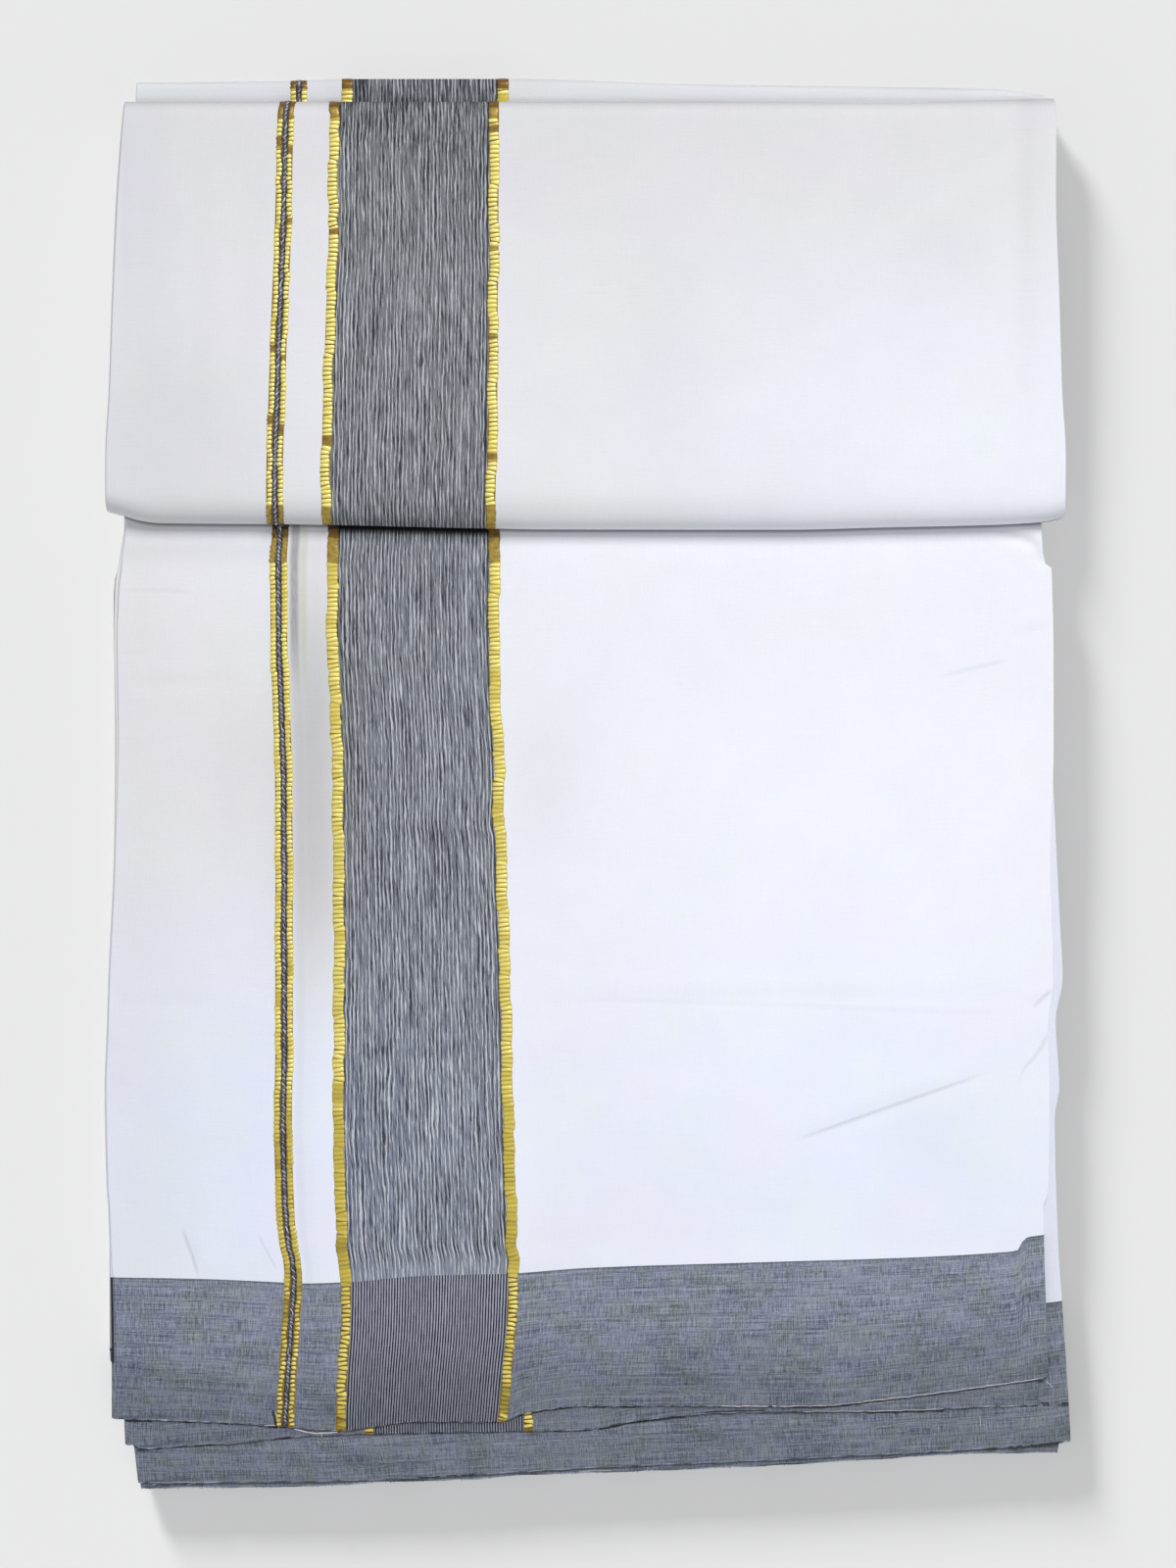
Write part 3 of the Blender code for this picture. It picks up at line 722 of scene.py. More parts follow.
plain_cotton = dhoti_cloth("grey_ended_cotton", striped=False)
pile = []
for pair, name in enumerate(("lowest_leaves", "lower_leaves")):
    lower_leaf, upper_leaf = 2 * pair, 2 * pair + 1

    def pile_stations(x, lower_leaf=lower_leaf, upper_leaf=upper_leaf):
        """From the lower leaf's hem up the strip, round the fold and back to the upper hem."""
        hem = follow(PILE_HEM, x) + EDGE_ROUND
        turn_y = follow(PILE_FOLD, x) - PITCH
        low, high = pile_middle(lower_leaf, x, turn_y), pile_middle(upper_leaf, x, turn_y)
        stations = run(
            hem + PILE_HEM_INSETS[lower_leaf],
            turn_y,
            COARSE_STEP,
            lambda y: pile_middle(lower_leaf, x, y),
            -1.0,
        )
        stations += half_turn(turn_y, low, high, PITCH / 2, -math.pi / 2, 1)
        stations += run(
            turn_y,
            hem + PILE_HEM_INSETS[upper_leaf],
            COARSE_STEP,
            lambda y: pile_middle(upper_leaf, x, y),
            1.0,
        )
        return stations

    strip = lay_strip(
        PILE_SIDES, pile_stations, above(PILE_HEM), COARSE_STEP, inset=PILE_SIDE_INSETS[pair]
    )
    # bright darkens the lowest leaves a little all over, as painted shade.
    leaves = make_shell(name, strip, (RAW_END, RAW_END), plain_cotton, bright=0.92)
    declare(leaves, strip, "white_cotton", "folded", [piece.name for piece in pile], "hidden_layers")
    pile.append(leaves)


# The third leaf from the top. Its grey end shows as a strip under the second leaf's hem, and at
# the lower right its folded side stands out past the leaves on it.
THIRD_SIDES = table(
    Side, (150, -153, 150), (87, -153.5, 150.5), (65.5, -156.5, 154.5), (13, -156.5, 155.6),
    (-46, -158, 158.3), (-65.5, -158.5, 159.2), (-79, -159, 156.9), (-102, -159.7, 158.1),
    (-111.5, -160, 156.6), (-151, -159, 157.6), (-177, -158, 159.2), (-213, -153.8, 161.5),
    (-222, -151.9, 161.9), (-234, -150.5, 161.9),
)
THIRD_HEM = table(
    Line, (-150.4, -234.2), (-88.5, -233.5), (-41, -231.2), (0, -228.9), (54.5, -226.6), (98, -224.4),
    (125, -223), (157, -220.4), (161.9, -219.4),
)
SECOND_HEM = table(
    Line, (-155, -221.4), (-151.4, -222.7), (-138, -221.7), (-120, -220.6), (-91, -218.1),
    (-23, -216.7), (0, -216.3), (16.5, -213.4), (49, -210.6), (98, -210.1), (150.4, -208),
)
HIDDEN_END = 150.0
UNDER_STEP = 3.0


def flat_stations(x, level, upper_y, hem, step=UNDER_STEP):
    """From a leaf's hidden upper end down to its hem, lying at one level of the pile."""
    def middle(y):
        return level + LEAF / 2 + swell(x, y)

    hem_y = follow(hem, x) + EDGE_ROUND
    fine_end = [hem_y + distance for distance in reversed(EDGE_STOPS)]
    stations = run(upper_y + np.zeros_like(x), fine_end[0], step, middle, 1.0)
    for y in (*fine_end[1:], hem_y):
        stations.append((y, middle(y), np.zeros_like(y), np.ones_like(y)))
    return stations


strip = lay_strip(
    THIRD_SIDES,
    lambda x: flat_stations(x, THIRD_LEVEL, HIDDEN_END, THIRD_HEM),
    above(THIRD_HEM),
    UNDER_STEP,
    hems=[THIRD_HEM],
)
third_leaf = make_shell(
    "third_leaf_cloth", strip, (FOLDED_SIDE, RAW_END), plain_cotton, blue=0.7, under=SECOND_HEM
)
declare(third_leaf, strip, "grey_cotton", "laid", [pile[1].name], "third_leaf")


# The second leaf from the top, whose hem shows as a narrow strip under the front leaf's. Its
# border comes out a little to the right of the front leaf's.
Stripes = namedtuple("Stripes", "along narrow gold_left gold_right")
SECOND_LEVEL = THIRD_LEVEL + PITCH
SECOND_SIDES = table(
    Side, (236, -149, 154.5), (150, -153.5, 150.5), (87, -154, 151), (65.5, -157, 154.5),
    (-65.5, -159, 154.5), (-118, -160.3, 153), (-170, -158.2, 151.5), (-197, -156.5, 151),
    (-213, -155.1, 150.6), (-223, -154.7, 150.4),
)
FRONT_HEM = table(
    Line, (-159.2, -212.5), (-119.5, -213.9), (-98, -215.5), (-83.8, -216.5), (-55.5, -213.5),
    (-28.5, -213.5), (-20, -210.5), (0, -208.3), (75.5, -208.3), (98, -206.3), (141.5, -200.7),
    (154.7, -198.8),
)
SECOND_STRIPES = table(Stripes, (236, -96, -79, -27), (-222, -91.5, -73, -19.6))
SECOND_END = 229.0

striped_cotton = dhoti_cloth("striped_cotton", striped=True)
bordered_cotton = dhoti_cloth("bordered_cotton", striped=True, narrow=False)
second_strip = lay_strip(
    SECOND_SIDES,
    lambda x: flat_stations(x, SECOND_LEVEL, SECOND_END, SECOND_HEM),
    above(SECOND_HEM),
    UNDER_STEP,
    SECOND_STRIPES,
    hems=[SECOND_HEM, THIRD_HEM],
)
second_leaf = make_shell(
    "second_leaf_cloth", second_strip, (FOLDED_SIDE, RAW_END), bordered_cotton, under=FRONT_HEM
)
declare(second_leaf, second_strip, "grey_cotton", "laid", [third_leaf.name], "second_leaf")


# The front leaf, on top of the pile below the flap: white cotton with its border of grey stripes
# between two gold ones, a narrow stripe beside them and the grey band across its end.
Ledge = namedtuple("Ledge", "along wide")
# A patch of painted light and shade: where, how wide and high, how much lighter and how much bluer.
Patch = namedtuple("Patch", "across along wide high bright blue")
Crease = namedtuple("Crease", "x1 y1 x2 y2 bow depth wide")
FRONT_LEVEL = SECOND_LEVEL + PITCH
FRONT_SIDES = table(
    Side, (150, -156, 156), (100, -155.5, 156), (87, -155, 152), (76, -156.5, 152.6),
    (73.9, -156.8, 153), (72.4, -157.1, 155.3), (65.5, -158.1, 155.6), (49, -158.4, 156),
    (13, -157.9, 156.1), (-26, -158.6, 155), (-65.5, -160.4, 156), (-82.5, -160.9, 154.3),
    (-102, -161.6, 154.8), (-136, -160.9, 154.5), (-142, -160.4, 152.7), (-197, -159.2, 154.2),
    (-217, -159.2, 154.7),
)
FLAP_LOWER_LINE = table(
    Line, (-161, 91.4), (-154.3, 89.5), (-149.4, 88), (-142.8, 87.2), (-98, 86.8), (-33.5, 85.4),
    (-13, 85.1), (66, 85), (100, 85.8), (134, 86.6), (149.7, 87.4), (157.5, 88.7), (159.8, 89.6),
)
FRONT_BAND_TOP = table(
    Line, (-160, -165.1), (-130.4, -165.6), (-101.5, -166.8), (-95, -167.1), (-79.5, -166.6),
    (-56.3, -164.6), (-26.4, -163.8), (0, -161.9), (54.6, -160.1), (109.1, -158.4), (137.9, -156.8),
    (143.8, -156.1), (146.5, -151.9), (152.4, -150.9),
)
FRONT_LEDGE = table(
    Ledge, (150, 0.5), (80, 0.5), (69, 1.3), (52, 1), (13, 0.8), (-20, 0.4), (-150, 0.4), (-163, 0.6),
    (-168, 1.2), (-192, 1.2), (-195, 0.05), (-217, 0.05),
)
FRONT_STRIPES = table(
    Stripes, (150, -102.6, -85.6, -31.4), (86, -102.8, -84.7, -31.3), (74, -103.4, -85.4, -31.2),
    (46.5, -103.2, -85.4, -31.2), (26.9, -102.5, -84.3, -30.7), (3.3, -101.7, -83.6, -29.5),
    (-14, -101.6, -83.4, -29.8), (-17.4, -101.5, -83.4, -29.1), (-24.3, -101.5, -83.3, -28.9),
    (-51.8, -101.5, -83.1, -28), (-87, -101.4, -83.2, -27), (-115, -101.8, -83.3, -26.4),
    (-138.4, -101.2, -82.5, -25.6), (-154.2, -100, -82.2, -25.3), (-159.5, -98.7, -81.4, -24.4),
    (-166, -98.2, -80.7, -24.8), (-181.7, -99.2, -81, -25.4), (-197.5, -100.2, -82, -26.9),
    (-213, -101.2, -82.7, -28.4),
)
# Painted light and shade on the front leaf: darker towards the left and in a soft band beside the
# narrow stripe, lighter and bluer on the right and lower down.
FRONT_PATCHES = table(
    Patch, (-152, 0, 18, 200, -0.05, -0.1), (-130, 15, 40, 70, -0.06, -0.2),
    (-115, 4, 14, 40, -0.05, -0.1), (-125, 79, 60, 5, -0.09, 0), (-91, 32, 11.5, 40, -0.26, -0.5),
    (-91, -28, 11.5, 42, -0.26, -0.5), (-55, -120, 26, 60, 0.12, 0), (-15, 0, 15, 30, -0.06, -0.1),
    (80, -20, 130, 85, 0.09, 0.2), (-120, -130, 60, 80, 0.02, 0.7), (90, -130, 150, 70, 0.05, 0.6),
    (115, -115, 14, 12, -0.05, 0), (125, -128, 16, 9, -0.03, 0), (60, -157, 90, 4, 0.03, 0),
)
FRONT_CREASES = table(
    Crease, (66, -121.8, 135, -97.2, 0.4, 0.30, 2.6), (149, -75.5, 157.5, -69.5, 0, 0.30, 2),
    (-134.6, -151, -130, -166, 0, 0.25, 2), (136.5, 84.6, 154, 73, 3, 0.80, 1.9),
    (147, 76, 154.5, 73, 0, 0.45, 1.6), (141.5, 49.3, 156.5, 52.4, 0, 0.24, 1.8),
    (-157.5, 33.6, -114, 34.4, -0.6, 0.20, 2.4), (-15, -72.6, 150, -71.8, 0.6, 0.22, 2.6),
    (-158, -73.9, -117, -73.5, 0, 0.16, 2.4), (45, -142.9, 77, -142.5, 0, 0.15, 2.2),
)
FRONT_PRESSED = table(
    Crease, (67, -120.4, 135.5, -96.2, 0.4, 1, 0.55), (143, -101, 154.4, -82.5, -2.2, 0.8, 0.55),
    (149, -75.5, 157.5, -69, 0.3, 0.9, 0.55), (-136, -148, -130.4, -165.8, 0.3, 1, 0.5),
    (-110.5, -150, -104, -163.5, 0, 0.6, 0.45), (116, 35, 142, 41.5, 0.4, 0.5, 0.7),
    (-157.5, 64.5, -130, 63.6, 0.5, 0.3, 0.7), (-20, -72.8, 154, -72, 0.6, 0.25, 0.9),
)
FRONT_STEP = 1.6


def crease_lift(x, y, creases):
    """How much creases lift or sink a surface: each is a trough with a ridge on its one side."""
    lift = np.zeros_like(x)
    for crease in creases:
        run_x, run_y = crease.x2 - crease.x1, crease.y2 - crease.y1
        length = math.hypot(run_x, run_y)
        share = ((x - crease.x1) * run_x + (y - crease.y1) * run_y) / length**2
        off = ((y - crease.y1) * run_x - (x - crease.x1) * run_y) / length
        inside = np.clip(share, 0, 1)
        off = off - crease.bow * np.sin(math.pi * inside)
        fade = np.sin(math.pi * inside) ** 0.6
        trough = np.exp(-((off / crease.wide) ** 2))
        ridge = np.exp(-(((off - 1.9 * crease.wide) / (1.3 * crease.wide)) ** 2))
        lift += crease.depth * fade * (0.8 * ridge - trough)
    return lift


def in_cloth(creases):
    """Creases of the front leaf, placed in its cloth instead of in the pile."""
    ends = np.array([(crease[:2], crease[2:4]) for crease in creases])
    x, y = ends[..., 0], ends[..., 1]
    across = across_cloth(x, y, FRONT_SIDES, FRONT_STRIPES)
    along = BAND + y - follow(FRONT_BAND_TOP, x)
    places = np.stack((across[:, 0], along[:, 0], across[:, 1], along[:, 1]), axis=1).tolist()
    return [Crease(*ends, *crease[4:]) for ends, crease in zip(places, creases)]


def crumpled(creases):
    """How creases, and the slight unevenness of cotton that has lain folded, lift a surface."""
    def lift(x, y):
        wide = wander(x + 0.4 * y, 83.0, 0.7) * wander(y - 0.3 * x, 61.0, 2.1)
        small = wander(x, 23.0, 1.3) * wander(y + 0.2 * x, 31.0, 0.2)
        return crease_lift(x, y, creases) + (0.22 * wide + 0.06 * small)

    return lift


def front_along(x, y):
    """How far up the cloth a place of the front leaf is, whose band isn't quite even."""
    hem_y, band_y = follow(FRONT_HEM, x), follow(FRONT_BAND_TOP, x)
    return np.where(y < band_y, BAND * (y - hem_y) / (band_y - hem_y), BAND + y - band_y)


front_strip = lay_strip(
    FRONT_SIDES,
    lambda x: flat_stations(x, FRONT_LEVEL, HIDDEN_END, FRONT_HEM, FRONT_STEP),
    front_along,
    FRONT_STEP,
    FRONT_STRIPES,
    ledges=FRONT_LEDGE,
    lift=crumpled(FRONT_CREASES),
    hems=[FRONT_HEM, SECOND_HEM, THIRD_HEM],
)
creased_cotton = dhoti_cloth("creased_cotton", striped=True, creases=in_cloth(FRONT_PRESSED))
front_leaf = make_shell(
    "front_leaf_cloth",
    front_strip,
    (FOLDED_SIDE, RAW_END),
    creased_cotton,
    FRONT_PATCHES,
    blue=0.3,
    under=FLAP_LOWER_LINE,
)
declare(front_leaf, front_strip, "white_cotton", "laid", [second_leaf.name], "front_leaf")


# The pile's upper fold, where the front leaf's length goes over the second leaf's end and back
# under it. Above the flap it shows as a white strip.
BACK_FOLD_SIDES = table(
    Side, (236, -150.9, 156), (228, -151.2, 156), (200, -152.5, 156), (150, -154.5, 156),
)
BACK_FOLD_LINE = table(
    Line, (-150.9, 234.8), (-99, 235.3), (-78.5, 236), (-26.5, 236), (33, 234.2), (85.5, 233.5),
    (136.5, 232.6), (144, 231.8), (152, 230.6), (156, 229.4),
)
BACK_FOLD_STRIPES = table(Stripes, (236, -96.5, -80.4, -28.3), (150, -96.5, -80.4, -28.3))
# Painted shade along the back fold's upper edge and beside the flap's upper edge.
BACK_FOLD_PATCHES = table(
    Patch, (-130, 235.3, 60, 1.2, -0.13, 0), (-20, 235.6, 55, 1.2, -0.13, 0),
    (65, 234.2, 40, 1.2, -0.15, 0), (120, 233, 30, 1.2, -0.16, 0), (150, 230, 8, 3, -0.08, 0),
    (-20, 228.4, 400, 1.1, -0.17, 0),
)
BACK_FOLD_START = HIDDEN_END + PITCH
BACK_FOLD_STEP = 1.2
UP_THE_CLOTH = 6 * BAND  # further than this stretch of it really is, and far from its bands


def back_fold_stations(x):
    """Down the strip from under the flap, over the pile's upper fold and back below it."""
    turn_y = follow(BACK_FOLD_LINE, x) - PITCH - LEAF / 2
    start = np.full_like(x, BACK_FOLD_START)

    def high(y):
        return FRONT_LEVEL + LEAF / 2 + swell(x, y)

    def low(y):
        return THIRD_LEVEL + LEAF / 2 + swell(x, y)

    stations = run(start, turn_y, BACK_FOLD_STEP, high, 1.0)
    stations += half_turn(turn_y, low(turn_y), high(turn_y), PITCH, math.pi / 2, -1)
    stations += run(turn_y, start, COARSE_STEP, low, -1.0)
    return stations


back_strip = lay_strip(
    BACK_FOLD_SIDES, back_fold_stations, lambda x, y: y + UP_THE_CLOTH, UNDER_STEP, BACK_FOLD_STRIPES
)
# bright and the patches darken the back fold as painted shade.
back_fold = make_shell(
    "back_fold_cloth",
    back_strip,
    (FOLDED_SIDE, FOLDED_SIDE),
    striped_cotton,
    BACK_FOLD_PATCHES,
    bright=0.86,
    blue=0.25,
)
declare(back_fold, back_strip, "white_cotton", "folded", [second_leaf.name], "back_fold")


# The four leaves rolled up inside the flap: an outer turn and an inner one. Only their sides
# show, between the flap's face and its lower run.
FLAP_CORE_SIDES = table(
    Side, (229, -153.6, 154.8), (197.5, -156.4, 155.5), (151, -158.3, 157), (109, -160.2, 158.9),
    (85, -159.8, 158.4),
)
FLAP_TOP_LINE = table(Line, (-154.7, 228), (33, 228), (103, 227.6), (138.5, 228.6), (156, 229))
FLAP_LEAVES = 4
FLAP_LEVEL = FRONT_LEVEL + PITCH
FLAP_CORE_LEVEL = FLAP_LEVEL + PITCH
FLAP_TOP_LEVEL = FLAP_CORE_LEVEL + FLAP_LEAVES * PITCH
FLAP_PUFF = 0.9
FLAP_MOUTH = 3.0
FLAP_DEPTH = 4.4  # of the turn at its upper end
FLAP_LOWER_DEPTH = 6.5
FLAP_SAG = 0.2  # the share of its height at which its lower edge stands out furthest
ROLL_SIDE_INSETS = (0.2, 0.8)
FINE_STEP = 1.8


def flap_core_top(x, y):
    """The upper side of what lies inside the flap, highest along the rolled lower edge."""
    return FLAP_TOP_LEVEL - AIR + swell(x, y) + FLAP_PUFF * np.exp(-(((y - 98.0) / 28.0) ** 2))


def roll_stations(x, inset, low, high, mouth, bulge):
    """From a roll's open upper end down its lower side, round its lower end, up and over."""
    lower_y = follow(FLAP_LOWER_LINE, x) + FLAP_LOWER_DEPTH
    upper_y = follow(FLAP_TOP_LINE, x) - FLAP_DEPTH
    wide = FLAP_LOWER_DEPTH - inset - LEAF / 2
    stations = run(upper_y - mouth, lower_y, UNDER_STEP, lambda y: low(x, y), -1.0)
    stations += half_turn(lower_y, low(x, lower_y), high(x, lower_y), wide, -math.pi / 2, -1, bulge)
    stations += run(lower_y, upper_y, FINE_STEP, lambda y: high(x, y), 1.0)
    wide = FLAP_DEPTH - inset - LEAF / 2
    stations += half_turn(upper_y, low(x, upper_y), high(x, upper_y), wide, math.pi / 2, -1)
    return stations


rolls = []
for number, name in enumerate(("outer_roll", "inner_roll")):

    def lower_side(x, y, number=number):
        core = flap_core_top(x, y) - FLAP_CORE_LEVEL - swell(x, y) - LEAF
        return FLAP_CORE_LEVEL + swell(x, y) + LEAF / 2 + number * core / (FLAP_LEAVES - 1)

    def upper_side(x, y, number=number):
        core = flap_core_top(x, y) - FLAP_CORE_LEVEL - swell(x, y) - LEAF
        return flap_core_top(x, y) - LEAF / 2 - number * core / (FLAP_LEAVES - 1)

    inset = PITCH * (number + 1)
    strip = lay_strip(
        FLAP_CORE_SIDES,
        lambda x: roll_stations(x, inset, lower_side, upper_side, 2 * FLAP_MOUTH, 0.4),
        lambda x, y: y + 2 * BAND,
        COARSE_STEP,
        inset=ROLL_SIDE_INSETS[number],
    )
    # bright darkens the rolls a little all over, as painted shade.
    roll = make_shell(name, strip, (FOLDED_SIDE, FOLDED_SIDE), plain_cotton, bright=0.95)
    rests_on = [piece.name for piece in rolls]
    declare(roll, strip, "white_cotton", "folded", rests_on, "flap_layers")
    rolls.append(roll)


# The flap: the upper third of the pile, where the strip is turned back over it and rolled. Its
# face lies loosely over the leaves inside, with its border in line with the front leaf's.
FLAP_SIDES = table(
    Side, (229, -154.7, 156), (223, -155.3, 156.7), (197.5, -157.3, 156.5), (164, -158.8, 157.6),
    (131, -159.9, 158.6), (109, -161, 159.8), (96, -161, 159.7), (85, -160.6, 159.4),
)
FLAP_STRIPES = table(
    Stripes, (229, -99.6, -84.5, -31.1), (223.7, -100.7, -84.5, -31), (211.9, -100.9, -84.8, -31.2),
    (180.4, -101.7, -85, -31.2), (156.8, -102.7, -85.9, -31.5), (129.2, -103.6, -86.8, -31.6),
    (97.7, -104.4, -87.5, -32.2), (85, -104, -87.1, -32.5),
)
FLAP_LEDGE = table(Ledge, (229, 0.1), (200, 0.35), (150, 0.25), (90, 0.1))
# Painted light and shade on the flap: darker along its upper and lower edges and on its left, lighter
# to the lower right.
FLAP_PATCHES = table(
    Patch, (0, 235, 400, 60, -0.10, -0.1), (-20, 229, 400, 2.6, -0.27, 0),
    (-60, 91.5, 120, 4.5, -0.13, 0), (100, 91.5, 90, 4.5, -0.04, 0), (-142, 112, 40, 40, -0.09, 0),
    (-150, 200, 16, 60, -0.04, 0.1), (125, 115, 90, 60, 0.08, 0.3), (117, 180, 16, 12, -0.03, 0),
    (25, 150, 14, 26, -0.03, 0), (147, 195, 4, 60, -0.05, 0), (-60, 170, 24, 60, 0.04, 0),
)
FLAP_CREASES = table(
    Crease, (35, 170, 8, 117, 2, 0.45, 5), (152, 219, 96, 182, -2, 0.28, 3.5),
    (150.5, 229, 151.5, 160, 0.5, 0.24, 1.9), (-155, 226, -155.8, 140, 0, 0.18, 1.6),
    (90, 168, 44, 126, 2, 0.35, 4.5), (-131, 222, -133, 100, 1, 0.20, 3.5),
    (-112, 216, -116, 120, -1, 0.16, 4),
)


def flap_lower_run(x, y):
    """The middle height of the flap where it lies on the front leaf."""
    return FLAP_LEVEL + LEAF / 2 + swell(x, y)


def flap_face(x, y):
    """The middle height of the flap over the leaves inside it."""
    return flap_core_top(x, y) + AIR + LEAF / 2


flap_strip = lay_strip(
    FLAP_SIDES,
    lambda x: roll_stations(x, 0.0, flap_lower_run, flap_face, FLAP_MOUTH, FLAP_SAG),
    lambda x, y: y + UP_THE_CLOTH,
    FINE_STEP,
    FLAP_STRIPES,
    ledges=FLAP_LEDGE,
    lift=crumpled(FLAP_CREASES),
)
# bright and the patches are painted light and shade on the flap.
flap = make_shell(
    "flap_cloth",
    flap_strip,
    (FOLDED_SIDE, FOLDED_SIDE),
    striped_cotton,
    FLAP_PATCHES,
    bright=0.93,
    blue=0.2,
)
declare(flap, flap_strip, "white_cotton", "folded", [front_leaf.name, back_fold.name], "flap")

not_in_low_light = bpy.data.collections.new("not_in_low_light")
for each_piece in (flap, *rolls):
    not_in_low_light.objects.link(each_piece)
for each_link in not_in_low_light.collection_objects:
    each_link.light_linking.link_state = "EXCLUDE"
low_lamp.light_linking.blocker_collection = not_in_low_light


# The gold stripes: flat metal thread woven in as ribs across narrow tapes. Where the loom beat
# them down, or a fold pressed them, they lie flat and dull. Their colour is painted light and
# shade: a highlight on each rib's top, shade in the gaps between ribs, and darker gold down to
# near-black at the folds and where the front leaf's stripes go under the flap.
RIB = 1.47
RIB_SHAPE = np.array([-0.5, 0.15, 0.5, 0.3])  # how a rib rises from the gap before it and falls
GOLD_WIDE = 1.85  # half of a stripe's width
GOLD_WIDE_ON_FLAP = 1.6
GOLD_WIDE_IN_BAND = 1.5
NARROW_GOLD_SHARE = 0.52  # of that width, for each tape of the narrow stripe
NARROW_GOLD_OFF = 1.93  # from the narrow stripe's middle
# The first colour is a painted highlight on the ribs' tops and the third painted shade in the gaps
# between them. The last three darken the gold as painted shade at folds and beside the flap, and on the
# flap's crushed patches.
ZARI_HIGHLIGHT = paint(255, 242, 146)
ZARI_MIDDLE = paint(212, 190, 78)
ZARI_GAP_SHADE = paint(96, 74, 28)
ZARI_FLATTENED_AND_SHADED = paint(172, 146, 62)
ZARI_CRUSHED_AND_SHADED = paint(118, 84, 24)
ZARI_SHADOW = paint(52, 40, 22)
WORN_BELOW = -95.0  # the lower part of the front leaf's stripes, which is duller
TAPE_SECTION = [
    (-1, 0), (-0.86, 0.7), (-0.4, 1), (0, 1.05), (0.4, 1), (0.86, 0.7), (1, 0), (0, -0.5)
]

Track = namedtuple("Track", "centre up along")
Tube = namedtuple("Tube", "centre up wide high values")


def track_down(strip, place, first, last, step):
    """A line down a leaf's outer face along one warp thread, between two distances down it."""
    rows = range(len(strip.across))
    outer, inner, along = (
        np.array([[np.interp(place, strip.across[i], face[i, :, k]) for k in range(3)] for i in rows])
        for face in (strip.outer, strip.inner, np.repeat(strip.along[..., None], 3, axis=-1))
    )
    down = np.concatenate(([0.0], np.cumsum(np.linalg.norm(np.diff(outer, axis=0), axis=1))))
    places = np.arange(first, min(last, down[-1]), step)
    centre, up, along = (
        np.stack([np.interp(places, down, part[:, k]) for k in range(3)], axis=1)
        for part in (outer, outer - inner, along)
    )
    up[:, 0] = 0.0
    return Track(centre, up / np.linalg.norm(up, axis=1)[:, None], along[:, 0])


def make_tubes(name, tubes, section, finish):
    """Closed tubes in one mesh, each of one section drawn along a line."""
    points, faces, values = [], [], []
    section = np.array(section)
    sides = len(section)
    first = 0
    for tube in tubes:
        count = len(tube.centre)
        ahead = np.gradient(tube.centre, axis=0)
        side = np.cross(ahead, tube.up)
        side /= np.linalg.norm(side, axis=1)[:, None]
        wide = tube.wide[:, None, None] * section[None, :, :1] * side[:, None, :]
        high = tube.high[:, None, None] * section[None, :, 1:] * tube.up[:, None, :]
        points.append((tube.centre[:, None, :] + wide + high).reshape(-1, 3))
        ring = first + np.arange(count * sides).reshape(count, sides)
        one, two = ring[:-1], ring[1:]
        quads = np.stack((one, np.roll(one, -1, axis=1), np.roll(two, -1, axis=1), two), axis=-1)
        faces += quads.reshape(-1, 4).tolist()
        faces += [ring[0][::-1].tolist(), ring[-1].tolist()]
        values.append(np.repeat(tube.values, sides, axis=0))
        first += count * sides
    mesh = bpy.data.meshes.new(name)
    mesh.from_pydata((np.concatenate(points) * MM).tolist(), [], faces)
    values = np.concatenate(values)
    for k, attribute in enumerate(("shine", "folded")):
        column = np.ascontiguousarray(values[:, k])
        mesh.attributes.new(attribute, "FLOAT", "POINT").data.foreach_set("value", column)
    mesh.shade_smooth()
    mesh.materials.append(finish)
    made = put(name, mesh)
    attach(made, "root")


